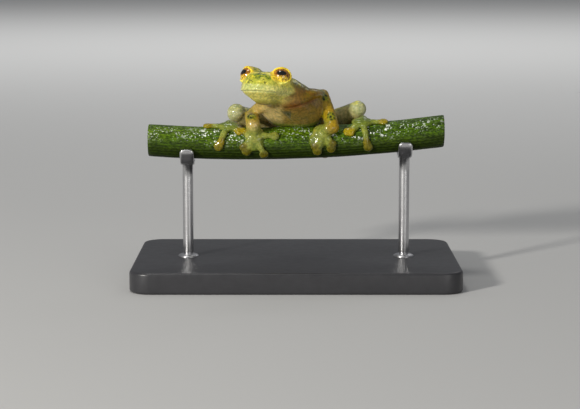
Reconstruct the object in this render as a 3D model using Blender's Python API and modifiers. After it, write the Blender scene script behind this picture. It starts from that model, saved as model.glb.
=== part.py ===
"""A life-size glass frog that grips a short cut stem, held by a plain display stand.

Blender 4.5, metres, +Z up. The frog faces -Y and its left side is at +X. Sizes below are in
millimetres and degrees. Places on the frog are measured from the middle of the stem, where an
empty stands, and the empty carries every object of the frog and the stem.
"""
import math

import bmesh
import bpy
from mathutils import Matrix, Vector

MM = 0.001
PART_NAME = "glass_frog"

# Gaps between nodes that touch
GAP = 0.3
EYE_GAP = 0.2
WELD = 0.001
WELD_STEPS = (0.01, 0.006, 0.004, 0.002, 0.001)

# Stem: a cut length that sags in the middle and climbs towards the frog's left
STEM_RADIUS = 2.28
STEM_LENGTH = 42.0
STEM_SLOPE = 0.032
STEM_BEND = 0.0023
STEM_STEPS = 14
STEM_SIDES = 24

# Stand: a flat base, two rods and a cradle on each
BASE_LENGTH = 46.0
BASE_DEPTH = 30.0
BASE_THICKNESS = 3.0
BASE_CORNER = 3.0
BASE_EDGE = 0.5
CORNER_STEPS = 5
STEM_HEIGHT = 19.4
STEM_SETBACK = -0.6
ROD_RADIUS = 0.75
ROD_REACH = 15.5
ROD_SIDES = 12
CRADLE_WIDTH = 2.0
CRADLE_THICKNESS = 0.7
CRADLE_SPAN = 75.0
CRADLE_STEPS = 14

# Body axis from rump to neck: place, half width, height over and under the axis
BODY_STATIONS = (
    ((1.62, 10.35, -1.05), 0.75, 0.75, 0.65),
    ((1.5, 9.8, -0.5), 1.6, 1.45, 1.35),
    ((1.2, 8.2, 0.8), 2.45, 2.05, 1.95),
    ((0.7, 5.6, 2.5), 3.15, 2.4, 2.5),
    ((0.15, 2.9, 4.05), 3.95, 2.65, 2.9),
    ((-0.5, 0.4, 5.3), 4.5, 2.8, 3.05),
    ((-1.0, -1.5, 6.35), 4.0, 2.6, 2.9),
    ((-1.7, -2.9, 7.15), 3.45, 2.55, 2.6),
    ((-2.3, -3.8, 7.75), 2.8, 2.2, 2.3),
)
BODY_SIDES = 28
BODY_STEPS = 3
BODY_UNDER_SQUARENESS = 2.7
BODY_OVER_SQUARENESS = 1.8

# Head: turned to the frog's right and tipped up, measured from the point between the eyes
HEAD_CENTRE = (-4.3, -5.4, 9.95)
HEAD_YAW = 26.0
HEAD_PITCH = 7.0
HEAD_SIDES = 40
LIP_LEVEL = -2.3
LIP_GROOVE = 0.3
JAW_CORNER = -1.9
# Level over the eyes' centres, reach forward, reach back, half width
HEAD_LEVELS = (
    (0.5, 0.6, 2.0, 1.1),
    (0.36, 1.5, 2.8, 1.9),
    (0.0, 2.3, 3.2, 2.5),
    (-0.6, 2.95, 3.4, 2.8),
    (-1.2, 3.35, 3.45, 2.98),
    (-1.8, 3.53, 3.45, 3.1),
    (LIP_LEVEL + 0.16, 3.53, 3.43, 3.11),
    (LIP_LEVEL, 3.48, 3.4, 3.08),
    (LIP_LEVEL - 0.16, 3.28, 3.38, 2.93),
    (-2.85, 2.65, 3.3, 2.42),
    (-3.35, 1.75, 3.2, 1.8),
    (-3.8, 0.9, 3.0, 1.2),
    (-4.05, 0.25, 2.4, 0.75),
)
HEAD_SQUARENESS = 2.15
NOSTRIL = (3.35, 0.75, -1.2)
NOSTRIL_RADIUS = 0.2

# Eyes: each looks forward and out, under a raised rim of skin
EYE_SPREAD = 2.52
EYE_LEVEL = -0.14
EYE_RADIUS = 1.15
EYE_TURN = 30.0
EYE_LIFT = 14.0
LID_RADIUS = 1.17
LID_THICKNESS = 0.27
LID_REACH = 0.62
BROW_RADIUS = 1.52
BROW_SINK = 0.45

# Facets of the round solids: round the equator and from pole to pole
LARGE_BALL = (20, 12)
KNOB_BALL = (16, 10)
PAD_BALL = (14, 8)
DISC_BALL = (12, 6)
NOSTRIL_BALL = (8, 6)

# Limbs: joints in order, with the radius of flesh at each
LEFT_ARM = {
    "shoulder": (1.0, -1.6, 6.3),
    "elbow": (3.85, 1.0, 6.75),
    "wrist": (5.2, -2.4, 2.4),
    "forearm_radii": (0.82, 0.66),
    "forearm_bulge": 0.18,
}
RIGHT_ARM = {
    "shoulder": (-4.0, -1.7, 5.9),
    "elbow": (-6.5, 1.6, 3.9),
    "wrist": (-6.2, -2.1, 3.3),
    "forearm_radii": (0.82, 0.92),
    "forearm_bulge": 0.08,
}
LEFT_LEG = {
    "hip": (2.4, 8.2, 1.0),
    "knee": (8.93, 2.5, 4.6),
    "heel": (4.3, 8.4, -2.5),
    "ankle": (8.1, 4.0, -1.0),
    "knee_radius": 1.2,
}
RIGHT_LEG = {
    "hip": (-0.2, 8.5, 0.9),
    "knee": (-8.6, 3.1, 3.95),
    "heel": (-2.1, 8.6, -2.6),
    "ankle": (-7.2, 4.2, -1.4),
    "knee_radius": 1.33,
}
UPPER_ARM_RADII = (0.85, 0.75)
UPPER_ARM_BULGE = 0.08
THIGH_RADII = (1.3, 1.0)
THIGH_BULGE = 0.1
SHANK_RADII = (1.1, 0.62)
TARSUS_RADII = (0.62, 0.55)
ELBOW_RADIUS = 0.85
HEEL_RADIUS = 0.68
LIMB_SIDES = 12
LIMB_STEPS = 6
CUTTER_SIZE = 40.0

# Hands and feet, on the stem: place along it, and angle from its top towards the viewer
LEFT_HAND = {
    "root": (3.8, 52.0),
    "tips": ((2.7, 101.0), (3.0, 117.0), (4.95, 109.0), (5.2, 93.0)),
}
RIGHT_HAND = {
    "root": (-5.8, 56.0),
    "tips": ((-3.05, 60.0), (-4.55, 122.0), (-7.05, 111.0), (-7.5, 96.0)),
}
LEFT_FOOT = {
    "route": ((8.7, -78.0), (9.3, -45.0), (9.5, -12.0)),
    "root": (9.4, 15.0),
    "tips": ((7.3, 56.0), (7.75, 62.0), (10.0, 97.0), (10.2, 112.0), (12.45, 21.0)),
}
RIGHT_FOOT = {
    "route": ((-8.2, -80.0), (-9.2, -48.0), (-9.6, -14.0)),
    "root": (-9.6, 14.0),
    "tips": ((-7.65, 39.0), (-8.15, 46.0), (-10.65, 82.0), (-11.0, 95.0), (-12.6, 8.0)),
}
DIGIT_RADIUS = 0.45
DIGIT_TIP_RADIUS = 0.34
DIGIT_SIDES = 8
DIGIT_STEPS = 4
DIGIT_START = 0.14
DISC_RADIUS = 0.68
DISC_THICKNESS = 0.34
PALM_RADII = (1.2, 1.2, 0.52)
CARPUS_RADIUS = 0.58
SOLE_RADII = (1.45, 1.2, 0.55)
INSTEP_RADIUS = 0.55
INSTEP_STEPS = 2
TUBE_SIDES = 10
WEB_THICKNESS = 0.5
WEB_START = 0.17
WEB_NOTCH = 0.35
WEB_REACH = 0.45
WEB_COLUMNS = 4
WEB_ROWS = 3

# Finishes: base colour, roughness, metallic
FINISHES = {
    "skin_head": ((0.42, 0.55, 0.12), 0.3, 0.0),
    "skin_body": ((0.52, 0.5, 0.3), 0.3, 0.0),
    "skin_limb": ((0.5, 0.5, 0.2), 0.3, 0.0),
    "skin_toes": ((0.5, 0.55, 0.22), 0.3, 0.0),
    "eye_gold": ((0.8, 0.55, 0.08), 0.1, 0.0),
    "stem_green": ((0.16, 0.3, 0.05), 0.45, 0.0),
    "stand_dark": ((0.05, 0.05, 0.055), 0.4, 0.0),
    "stand_steel": ((0.6, 0.6, 0.62), 0.3, 1.0),
}


def clear_scene():
    """Remove every object that the scene holds."""
    for item in list(bpy.data.objects):
        bpy.data.objects.remove(item, do_unlink=True)


def new_collection(name):
    """Make a collection in the scene."""
    group = bpy.data.collections.new(name)
    bpy.context.scene.collection.children.link(group)
    return group


def new_material(name):
    """Make a Principled material from the table of finishes."""
    colour, roughness, metallic = FINISHES[name]
    material = bpy.data.materials.new(name)
    material.use_nodes = True
    shader = material.node_tree.nodes["Principled BSDF"]
    shader.inputs["Base Color"].default_value = (*colour, 1.0)
    shader.inputs["Roughness"].default_value = roughness
    shader.inputs["Metallic"].default_value = metallic
    material.diffuse_color = (*colour, 1.0)
    return material


def move_to(item, group):
    """Take an object out of its collections and put it into one."""
    for owner in list(item.users_collection):
        owner.objects.unlink(item)
    group.objects.link(item)


def link_mesh(name, mesh):
    """Put a mesh into the scene as an object."""
    item = bpy.data.objects.new(name, mesh)
    bpy.context.scene.collection.objects.link(item)
    return item


def mesh_from_bmesh(name, builder):
    """Turn a finished bmesh into an object whose faces look outward."""
    bmesh.ops.remove_doubles(builder, verts=builder.verts, dist=WELD * MM)
    bmesh.ops.recalc_face_normals(builder, faces=builder.faces)
    if builder.calc_volume(signed=True) < 0.0:
        bmesh.ops.reverse_faces(builder, faces=builder.faces)
    mesh = bpy.data.meshes.new(name)
    builder.to_mesh(mesh)
    builder.free()
    return link_mesh(name, mesh)


def evaluated_mesh(item):
    """The mesh of an object with its modifiers applied."""
    depsgraph = bpy.context.evaluated_depsgraph_get()
    return bpy.data.meshes.new_from_object(item.evaluated_get(depsgraph))


def apply_modifiers(item):
    """Keep the evaluated mesh and drop the modifiers."""
    mesh = evaluated_mesh(item)
    item.modifiers.clear()
    item.data = mesh


def smooth_path(points, steps):
    """Points on a Catmull-Rom curve through the given vectors."""
    padded = [points[0] * 2.0 - points[1], *points, points[-1] * 2.0 - points[-2]]
    path = []
    for index in range(1, len(padded) - 2):
        before, start, end, after = padded[index - 1:index + 3]
        for step in range(steps):
            t = step / steps
            path.append(0.5 * (2.0 * start + (end - before) * t
                               + (2.0 * before - 5.0 * start + 4.0 * end - after) * t * t
                               + (3.0 * start - before - 3.0 * end + after) * t ** 3))
    path.append(points[-1].copy())
    return path


def loft(name, rings):
    """Skin a list of rings of equal length and close both ends with a fan."""
    builder = bmesh.new()
    rows = [[builder.verts.new(point * MM) for point in ring] for ring in rings]
    count = len(rows[0])
    for lower, upper in zip(rows, rows[1:]):
        for side in range(count):
            after = (side + 1) % count
            builder.faces.new((lower[side], lower[after], upper[after], upper[side]))
    for row in (rows[0], rows[-1]):
        middle = sum((vert.co for vert in row), Vector()) / count
        pole = builder.verts.new(middle)
        for side in range(count):
            builder.faces.new((row[side], row[(side + 1) % count], pole))
    return mesh_from_bmesh(name, builder)


def tube(name, points, radii, sides):
    """A round limb, rod or finger: a curve with a bevel and filled caps, made a mesh."""
    curve = bpy.data.curves.new(name, "CURVE")
    curve.dimensions = "3D"
    curve.bevel_depth = MM
    curve.bevel_resolution = (sides - 4) // 2
    curve.use_fill_caps = True
    spline = curve.splines.new("POLY")
    spline.points.add(len(points) - 1)
    for item, point, radius in zip(spline.points, points, radii):
        item.co = (*(point * MM), 1.0)
        item.radius = radius
    holder = link_mesh(name, curve)
    builder = bmesh.new()
    builder.from_mesh(evaluated_mesh(holder))
    bpy.data.objects.remove(holder, do_unlink=True)
    return mesh_from_bmesh(name, builder)


def taper(first, last, count):
    """Radii that run evenly from the first to the last."""
    return [first + (last - first) * index / (count - 1) for index in range(count)]


def ball(name, centre, radii, facets, turn=None):
    """A round or flattened ball, turned by a rotation matrix if one is given."""
    builder = bmesh.new()
    size = Matrix.Diagonal((*(Vector(radii) * MM), 1.0))
    rotation = turn.to_4x4() if turn else Matrix.Identity(4)
    matrix = Matrix.Translation(Vector(centre) * MM) @ rotation @ size
    segments, rings = facets
    bmesh.ops.create_uvsphere(builder, u_segments=segments, v_segments=rings, radius=1.0, matrix=matrix)
    return mesh_from_bmesh(name, builder)


def keep_largest(item):
    """Keep only the closed surface with the greatest volume."""
    builder = bmesh.new()
    builder.from_mesh(item.data)
    unseen = set(builder.faces)
    shells = []
    while unseen:
        start = unseen.pop()
        shell = {start}
        queue = [start]
        while queue:
            face = queue.pop()
            for edge in face.edges:
                for other in edge.link_faces:
                    if other in unseen:
                        unseen.discard(other)
                        shell.add(other)
                        queue.append(other)
        shells.append(shell)
    sizes = [sum(face.calc_area() for face in shell) for shell in shells]
    largest = shells[sizes.index(max(sizes))]
    extra = [face for face in builder.faces if face not in largest]
    bmesh.ops.delete(builder, geom=extra, context="FACES")
    builder.to_mesh(item.data)
    builder.free()


def weld_close(item):
    """Collapse edges shorter than the weld distance where the solid stays closed."""
    for distance in WELD_STEPS:
        builder = bmesh.new()
        builder.from_mesh(item.data)
        bmesh.ops.dissolve_degenerate(builder, dist=distance * MM, edges=builder.edges)
        bmesh.ops.remove_doubles(builder, verts=builder.verts, dist=distance * MM)
        closed = all(len(edge.link_faces) == 2 for edge in builder.edges)
        if closed:
            builder.to_mesh(item.data)
        builder.free()
        if closed:
            return


def fuse(name, pieces, solver="EXACT"):
    """Join closed pieces into one solid by a Boolean union on a collection."""
    body = pieces[0]
    body.name = name
    group = new_collection(name + "_pieces")
    for piece in pieces[1:]:
        move_to(piece, group)
    union = body.modifiers.new("union", "BOOLEAN")
    union.operation = "UNION"
    union.operand_type = "COLLECTION"
    union.collection = group
    union.solver = solver
    apply_modifiers(body)
    for piece in pieces[1:]:
        bpy.data.objects.remove(piece, do_unlink=True)
    bpy.data.collections.remove(group)
    keep_largest(body)
    return body


def cut(body, cutter, solver="EXACT"):
    """Take a cutter out of a solid and remove the cutter."""
    difference = body.modifiers.new("difference", "BOOLEAN")
    difference.operation = "DIFFERENCE"
    difference.object = cutter
    difference.solver = solver
    apply_modifiers(body)
    bpy.data.objects.remove(cutter, do_unlink=True)
    keep_largest(body)
    return body


def grown(item, distance):
    """A copy of a solid, swollen along its normals, to cut a neighbour clear of it."""
    mesh = item.data.copy()
    shifts = [vertex.co + vertex.normal * distance * MM for vertex in mesh.vertices]
    for vertex, place in zip(mesh.vertices, shifts):
        vertex.co = place
    return link_mesh(item.name + "_grown", mesh)


def stem_axis(x):
    """The stem's centre line at a place along it."""
    return Vector((x, 0.0, STEM_SLOPE * x + STEM_BEND * x * x))


def on_stem(x, angle, lift):
    """A point over the stem's skin; the angle runs from its top towards the viewer."""
    reach = STEM_RADIUS + lift
    turn = math.radians(angle)
    return stem_axis(x) + Vector((0.0, -math.sin(turn) * reach, math.cos(turn) * reach))


def stem_facing(angle):
    """Rotation of a pad that lies flat on the stem: its own Z points away from the stem."""
    return Matrix.Rotation(math.radians(angle), 3, "X")


def stem_tube(name, radius):
    """The stem, or a thicker one that cuts the belly clear of it."""
    count = STEM_STEPS + 1
    half = STEM_LENGTH / 2.0
    points = [stem_axis(-half + STEM_LENGTH * index / STEM_STEPS) for index in range(count)]
    return tube(name, points, [radius] * count, STEM_SIDES)


def head_frame():
    """The head's own axes: forward, left and up."""
    yaw = math.radians(HEAD_YAW)
    pitch = math.radians(HEAD_PITCH)
    forward = Vector((-math.sin(yaw) * math.cos(pitch), -math.cos(yaw) * math.cos(pitch), math.sin(pitch)))
    left = Vector((math.cos(yaw), -math.sin(yaw), 0.0))
    return forward, left, forward.cross(left)


def head_point(forward_reach, left_reach, up_reach):
    """A point in the head's own axes, from between the eyes."""
    forward, left, up = head_frame()
    return Vector(HEAD_CENTRE) + forward * forward_reach + left * left_reach + up * up_reach


def head_solid(name, grow, groove):
    """The head as a stack of level outlines, with the mouth line as a level drawn in."""
    rings = []
    for level, front, back, half_width in HEAD_LEVELS:
        ring = []
        for side in range(HEAD_SIDES):
            angle = 2.0 * math.pi * side / HEAD_SIDES
            across = math.sin(angle)
            along = math.cos(angle)
            power = 2.0 / HEAD_SQUARENESS
            reach = front if along > 0.0 else back
            s = math.copysign(abs(along) ** power, along) * (reach + grow)
            t = math.copysign(abs(across) ** power, across) * (half_width + grow)
            if level == LIP_LEVEL and s > JAW_CORNER:
                s -= groove * along
                t -= groove * across
            ring.append(head_point(s, t, level + math.copysign(grow, level - LIP_LEVEL)))
        rings.append(ring)
    return loft(name, rings)


def eye_axis(side):
    """The way that an eye looks; side is 1 for left and -1 for right."""
    forward, left, up = head_frame()
    turn = math.radians(EYE_TURN)
    lift = math.radians(EYE_LIFT)
    level = forward * math.cos(turn) + left * (side * math.sin(turn))
    return (level * math.cos(lift) + up * math.sin(lift)).normalized()


def eye_centre(side):
    """The middle of an eyeball."""
    return head_point(0.0, side * EYE_SPREAD, EYE_LEVEL)


def lid_ring(name, side):
    """The raised rim round an eye, a torus across the eye's axis."""
    axis = eye_axis(side)
    place = (eye_centre(side) + axis * LID_REACH) * MM
    bpy.ops.mesh.primitive_torus_add(
        major_segments=28, minor_segments=8, major_radius=LID_RADIUS * MM, minor_radius=LID_THICKNESS * MM,
        location=place, rotation=axis.to_track_quat("Z", "Y").to_euler())
    ring = bpy.context.object
    ring.name = name
    ring.data.transform(ring.matrix_world)
    ring.matrix_world = Matrix.Identity(4)
    return ring


def make_eye(name, side):
    """An eyeball, turned so that its pole looks out of the lids."""
    turn = eye_axis(side).to_track_quat("Z", "Y").to_matrix()
    return ball(name, eye_centre(side), (EYE_RADIUS,) * 3, LARGE_BALL, turn)


def make_head():
    """The head with lids, lips, mouth line, nostrils and a cup for each eye."""
    pieces = [head_solid("head", 0.0, LIP_GROOVE)]
    for side in (1, -1):
        brow_place = eye_centre(side) - eye_axis(side) * BROW_SINK
        pieces.append(ball("brow", brow_place, (BROW_RADIUS,) * 3, LARGE_BALL))
        pieces.append(lid_ring("lid", side))
    head = fuse("head", pieces, "MANIFOLD")
    for side in (1, -1):
        turn = eye_axis(side).to_track_quat("Z", "Y").to_matrix()
        cup = ball("cup", eye_centre(side), (EYE_RADIUS + EYE_GAP,) * 3, LARGE_BALL, turn)
        head = cut(head, cup, "MANIFOLD")
        reach, across, level = NOSTRIL
        place = head_point(reach, side * across, level)
        head = cut(head, ball("nostril", place, (NOSTRIL_RADIUS,) * 3, NOSTRIL_BALL), "MANIFOLD")
    return head


def torso_solid(name):
    """The trunk as a loft of ovals from the rump to the neck."""
    places = smooth_path([Vector(station[0]) for station in BODY_STATIONS], BODY_STEPS)
    sizes = smooth_path([Vector(station[1:]) for station in BODY_STATIONS], BODY_STEPS)
    rings = []
    for index, (place, size) in enumerate(zip(places, sizes)):
        ahead = places[min(index + 1, len(places) - 1)] - places[max(index - 1, 0)]
        ahead.normalize()
        left = Vector((0.0, 0.0, 1.0)).cross(ahead).normalized()
        up = ahead.cross(left)
        half_width, over, under = size
        ring = []
        for side in range(BODY_SIDES):
            angle = 2.0 * math.pi * side / BODY_SIDES
            over_axis = math.sin(angle) > 0.0
            power = 2.0 / (BODY_OVER_SQUARENESS if over_axis else BODY_UNDER_SQUARENESS)
            across = math.copysign(abs(math.cos(angle)) ** power, math.cos(angle)) * half_width
            rise = math.copysign(abs(math.sin(angle)) ** power, math.sin(angle))
            rise *= over if over_axis else under
            ring.append(place + left * across + up * rise)
        rings.append(ring)
    return loft(name, rings)


def make_torso(limbs):
    """The trunk, cut clear of the stem under it, of the head before it and of the limbs."""
    torso = torso_solid("torso")
    cut(torso, stem_tube("stem_cutter", STEM_RADIUS + GAP))
    cut(torso, head_solid("head_cutter", GAP, 0.0))
    for limb in limbs:
        cut(torso, grown(limb, GAP), "MANIFOLD")
    return torso


def half_space(point, normal):
    """A large block that ends half a gap in front of a plane, on the normal's side."""
    size = CUTTER_SIZE * MM
    bpy.ops.mesh.primitive_cube_add(size=size)
    block = bpy.context.object
    middle = (point + normal * GAP / 2.0) * MM - normal * size / 2.0
    turn = normal.to_track_quat("Z", "Y").to_matrix().to_4x4()
    block.data.transform(Matrix.Translation(middle) @ turn)
    return block


def fold_normal(joint, own_end, other_end):
    """The normal of the plane that parts two folded lengths, towards the one with own_end."""
    return ((own_end - joint).normalized() - (other_end - joint).normalized()).normalized()


def make_limb(name, start, end, radii, bulge=0.0, knob=0.0, folds=(), clear_of=()):
    """A length of limb between two joints.

    knob is the radius of the ball at its first joint, folds are the joint and the far end of
    each length folded against this one, and clear_of has the ball of the next joint.
    """
    count = LIMB_STEPS + 1
    points = [start.lerp(end, index / LIMB_STEPS) for index in range(count)]
    widths = [radius + bulge * math.sin(math.pi * index / LIMB_STEPS)
              for index, radius in enumerate(taper(*radii, count))]
    limb = tube(name, points, widths, LIMB_SIDES)
    for joint, other_end in folds:
        own_end = end if (joint - start).length < (joint - end).length else start
        cut(limb, half_space(joint, fold_normal(joint, own_end, other_end)))
    if knob:
        limb = fuse(name, [limb, ball("knob", start, (knob,) * 3, KNOB_BALL)])
    for centre, radius in clear_of:
        cut(limb, ball("joint_cutter", centre, (radius + GAP,) * 3, LARGE_BALL))
    return limb


def digit_route(root, tip):
    """Places along a finger or toe, as place along the stem and angle round it."""
    route = []
    for step in range(DIGIT_STEPS + 1):
        t = DIGIT_START + (1.0 - DIGIT_START) * step / DIGIT_STEPS
        route.append((root[0] + (tip[0] - root[0]) * t, root[1] + (tip[1] - root[1]) * t))
    return route


def make_digit(root, tip):
    """A finger or toe that lies on the stem, with the round disc at its tip."""
    route = digit_route(root, tip)
    points = [on_stem(x, angle, DIGIT_RADIUS + GAP) for x, angle in route]
    stalk = tube("digit", points, taper(DIGIT_RADIUS, DIGIT_TIP_RADIUS, len(points)), DIGIT_SIDES)
    centre = on_stem(tip[0], tip[1], DISC_THICKNESS + GAP)
    disc = ball("disc", centre, (DISC_RADIUS, DISC_RADIUS, DISC_THICKNESS), DISC_BALL, stem_facing(tip[1]))
    return [stalk, disc]


def make_web(root, first_tip, second_tip):
    """The skin between two digits: a curved sheet with a drawn-in edge, made solid."""
    builder = bmesh.new()
    first = digit_route(root, first_tip)[-1]
    second = digit_route(root, second_tip)[-1]
    grid = []
    for row in range(WEB_ROWS + 1):
        line = []
        for column in range(WEB_COLUMNS + 1):
            t = column / WEB_COLUMNS
            reach = WEB_REACH * row / WEB_ROWS * (1.0 - WEB_NOTCH * math.sin(math.pi * t)) + WEB_START
            goal_x = first[0] + (second[0] - first[0]) * t
            goal_angle = first[1] + (second[1] - first[1]) * t
            x = root[0] + (goal_x - root[0]) * reach
            angle = root[1] + (goal_angle - root[1]) * reach
            line.append(builder.verts.new(on_stem(x, angle, DIGIT_RADIUS + GAP) * MM))
        grid.append(line)
    for lower, upper in zip(grid, grid[1:]):
        for column in range(WEB_COLUMNS):
            builder.faces.new((lower[column], lower[column + 1], upper[column + 1]))
            builder.faces.new((lower[column], upper[column + 1], upper[column]))
    mesh = bpy.data.meshes.new("web")
    builder.to_mesh(mesh)
    builder.free()
    web = link_mesh("web", mesh)
    shell = web.modifiers.new("thickness", "SOLIDIFY")
    shell.thickness = WEB_THICKNESS * MM
    shell.offset = 0.0
    apply_modifiers(web)
    return web


def make_pads(root, tips):
    """Every digit of a hand or foot with the webs between the neighbours."""
    pieces = []
    for tip in tips:
        pieces.extend(make_digit(root, tip))
    for first_tip, second_tip in zip(tips, tips[1:]):
        pieces.append(make_web(root, first_tip, second_tip))
    return pieces


def make_hand(name, hand, arm, forearm):
    """A hand that grips the stem, from the wrist to the finger discs."""
    root = hand["root"]
    palm_place = on_stem(root[0], root[1], PALM_RADII[2] + GAP)
    palm = ball("palm", palm_place, PALM_RADII, PAD_BALL, stem_facing(root[1]))
    wrist = Vector(arm["wrist"])
    link = [wrist, wrist.lerp(palm_place, 0.5), palm_place]
    carpus = tube("carpus", link, taper(arm["forearm_radii"][1], CARPUS_RADIUS, len(link)), TUBE_SIDES)
    hand_solid = fuse(name, [palm, carpus, *make_pads(root, hand["tips"])], "MANIFOLD")
    return cut(hand_solid, grown(forearm, GAP), "MANIFOLD")


def make_foot(name, foot, tarsus, ankle):
    """A foot that comes over the stem from behind and spreads its toes on the front."""
    root = foot["root"]
    sole_place = on_stem(root[0], root[1], SOLE_RADII[2] + GAP)
    sole = ball("sole", sole_place, SOLE_RADII, PAD_BALL, stem_facing(root[1]))
    route = [ankle]
    route.extend(on_stem(x, angle, INSTEP_RADIUS + GAP) for x, angle in foot["route"])
    route.append(sole_place)
    path = smooth_path(route, INSTEP_STEPS)
    instep = tube("instep", path, [INSTEP_RADIUS] * len(path), TUBE_SIDES)
    foot_solid = fuse(name, [sole, instep, *make_pads(root, foot["tips"])], "MANIFOLD")
    return cut(foot_solid, grown(tarsus, GAP), "MANIFOLD")


def make_arm(side_name, arm, hand):
    """Upper arm, forearm and hand of one side."""
    shoulder, elbow, wrist = (Vector(arm[joint]) for joint in ("shoulder", "elbow", "wrist"))
    forearm = make_limb("forearm_" + side_name, elbow, wrist, arm["forearm_radii"],
                        bulge=arm["forearm_bulge"], knob=ELBOW_RADIUS, folds=((elbow, shoulder),))
    upper = make_limb("upper_arm_" + side_name, shoulder, elbow, UPPER_ARM_RADII, bulge=UPPER_ARM_BULGE,
                      folds=((elbow, wrist),), clear_of=((elbow, ELBOW_RADIUS),))
    return [upper, forearm, make_hand("hand_" + side_name, hand, arm, forearm)]


def make_leg(side_name, leg, foot):
    """Thigh, shank, tarsus and foot of one side."""
    hip, knee, heel, ankle = (Vector(leg[joint]) for joint in ("hip", "knee", "heel", "ankle"))
    knob = leg["knee_radius"]
    thigh = make_limb("thigh_" + side_name, hip, knee, THIGH_RADII, bulge=THIGH_BULGE,
                      folds=((knee, heel),), clear_of=((knee, knob),))
    shank = make_limb("shank_" + side_name, knee, heel, SHANK_RADII, knob=knob,
                      folds=((knee, hip), (heel, ankle)), clear_of=((heel, HEEL_RADIUS),))
    tarsus = make_limb("tarsus_" + side_name, heel, ankle, TARSUS_RADII, knob=HEEL_RADIUS,
                       folds=((heel, knee),))
    return [thigh, shank, tarsus, make_foot("foot_" + side_name, foot, tarsus, ankle)]


def make_base():
    """The stand's plain plate, with round corners and a small edge."""
    curve = bpy.data.curves.new("stand_base", "CURVE")
    curve.dimensions = "2D"
    curve.fill_mode = "BOTH"
    curve.extrude = BASE_THICKNESS / 2.0 * MM
    spline = curve.splines.new("POLY")
    points = []
    for quarter in range(4):
        centre_x = math.copysign(BASE_LENGTH / 2.0 - BASE_CORNER, (1, -1, -1, 1)[quarter])
        centre_y = math.copysign(BASE_DEPTH / 2.0 - BASE_CORNER, (1, 1, -1, -1)[quarter])
        for step in range(CORNER_STEPS + 1):
            angle = math.radians(90.0 * (quarter + step / CORNER_STEPS))
            corner_x = centre_x + BASE_CORNER * math.cos(angle)
            corner_y = centre_y + BASE_CORNER * math.sin(angle)
            points.append((corner_x, corner_y))
    spline.points.add(len(points) - 1)
    for item, (x, y) in zip(spline.points, points):
        item.co = (x * MM, y * MM, 0.0, 1.0)
    spline.use_cyclic_u = True
    holder = link_mesh("stand_base_outline", curve)
    builder = bmesh.new()
    builder.from_mesh(evaluated_mesh(holder))
    bpy.data.objects.remove(holder, do_unlink=True)
    base = mesh_from_bmesh("stand_base", builder)
    base.location.z = BASE_THICKNESS / 2.0 * MM
    edge = base.modifiers.new("edge", "BEVEL")
    edge.width = BASE_EDGE * MM
    edge.segments = 2
    edge.limit_method = "ANGLE"
    return base


def make_rod(name, x):
    """A rod with a cradle that follows the underside of the stem."""
    seat = stem_axis(x)
    inner = STEM_RADIUS + GAP
    middle = inner + CRADLE_THICKNESS / 2.0
    foot = Vector((x, 0.0, BASE_THICKNESS + GAP - STEM_HEIGHT))
    head = Vector((x, 0.0, seat.z - middle))
    rod = tube(name, [foot, head], [ROD_RADIUS] * 2, ROD_SIDES)
    outer = inner + CRADLE_THICKNESS
    builder = bmesh.new()
    rings = []
    for step in range(CRADLE_STEPS + 1):
        turn = math.radians(180.0 - CRADLE_SPAN + 2.0 * CRADLE_SPAN * step / CRADLE_STEPS)
        out = Vector((0.0, -math.sin(turn), math.cos(turn)))
        ring = []
        for along, reach in ((-1, inner), (1, inner), (1, outer), (-1, outer)):
            place = seat + Vector((along * CRADLE_WIDTH / 2.0, 0.0, 0.0)) + out * reach
            ring.append(builder.verts.new(place * MM))
        rings.append(ring)
    for lower, upper in zip(rings, rings[1:]):
        for side in range(4):
            after = (side + 1) % 4
            builder.faces.new((lower[side], lower[after], upper[after], upper[side]))
    builder.faces.new(rings[0])
    builder.faces.new(rings[-1])
    cradle = mesh_from_bmesh("cradle", builder)
    return fuse(name, [rod, cradle])


def finish(item, material, group, parent):
    """Give an object its material, its collection, its parent and smooth faces."""
    item.data.materials.clear()
    item.data.materials.append(material)
    weld_close(item)
    for polygon in item.data.polygons:
        polygon.use_smooth = True
    move_to(item, group)
    if parent:
        item.parent = parent


def build():
    """Make every sub-part of the frog, the stem and the stand."""
    clear_scene()
    group = new_collection(PART_NAME)
    materials = {name: new_material(name) for name in FINISHES}
    left_arm = make_arm("left", LEFT_ARM, LEFT_HAND)
    right_arm = make_arm("right", RIGHT_ARM, RIGHT_HAND)
    left_leg = make_leg("left", LEFT_LEG, LEFT_FOOT)
    right_leg = make_leg("right", RIGHT_LEG, RIGHT_FOOT)
    torso = make_torso((*left_arm[:2], *right_arm[:2], left_leg[0], right_leg[0]))
    head = make_head()
    eyes = [make_eye("eye_left", 1), make_eye("eye_right", -1)]
    stem = stem_tube("perch_stem", STEM_RADIUS)
    rods = [make_rod("stand_rod_left", ROD_REACH), make_rod("stand_rod_right", -ROD_REACH)]

    frame = bpy.data.objects.new("perch_frame", None)
    frame.location = (0.0, STEM_SETBACK * MM, STEM_HEIGHT * MM)
    group.objects.link(frame)
    finish(torso, materials["skin_body"], group, frame)
    finish(head, materials["skin_head"], group, frame)
    for eye in eyes:
        finish(eye, materials["eye_gold"], group, frame)
    for limb in (*left_arm[:2], *right_arm[:2], *left_leg[:3], *right_leg[:3]):
        finish(limb, materials["skin_limb"], group, frame)
    for limb in (left_arm[2], right_arm[2], left_leg[3], right_leg[3]):
        finish(limb, materials["skin_toes"], group, frame)
    finish(stem, materials["stem_green"], group, frame)
    for rod in rods:
        finish(rod, materials["stand_steel"], group, frame)
    finish(make_base(), materials["stand_dark"], group, None)


build()
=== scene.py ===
import math

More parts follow.
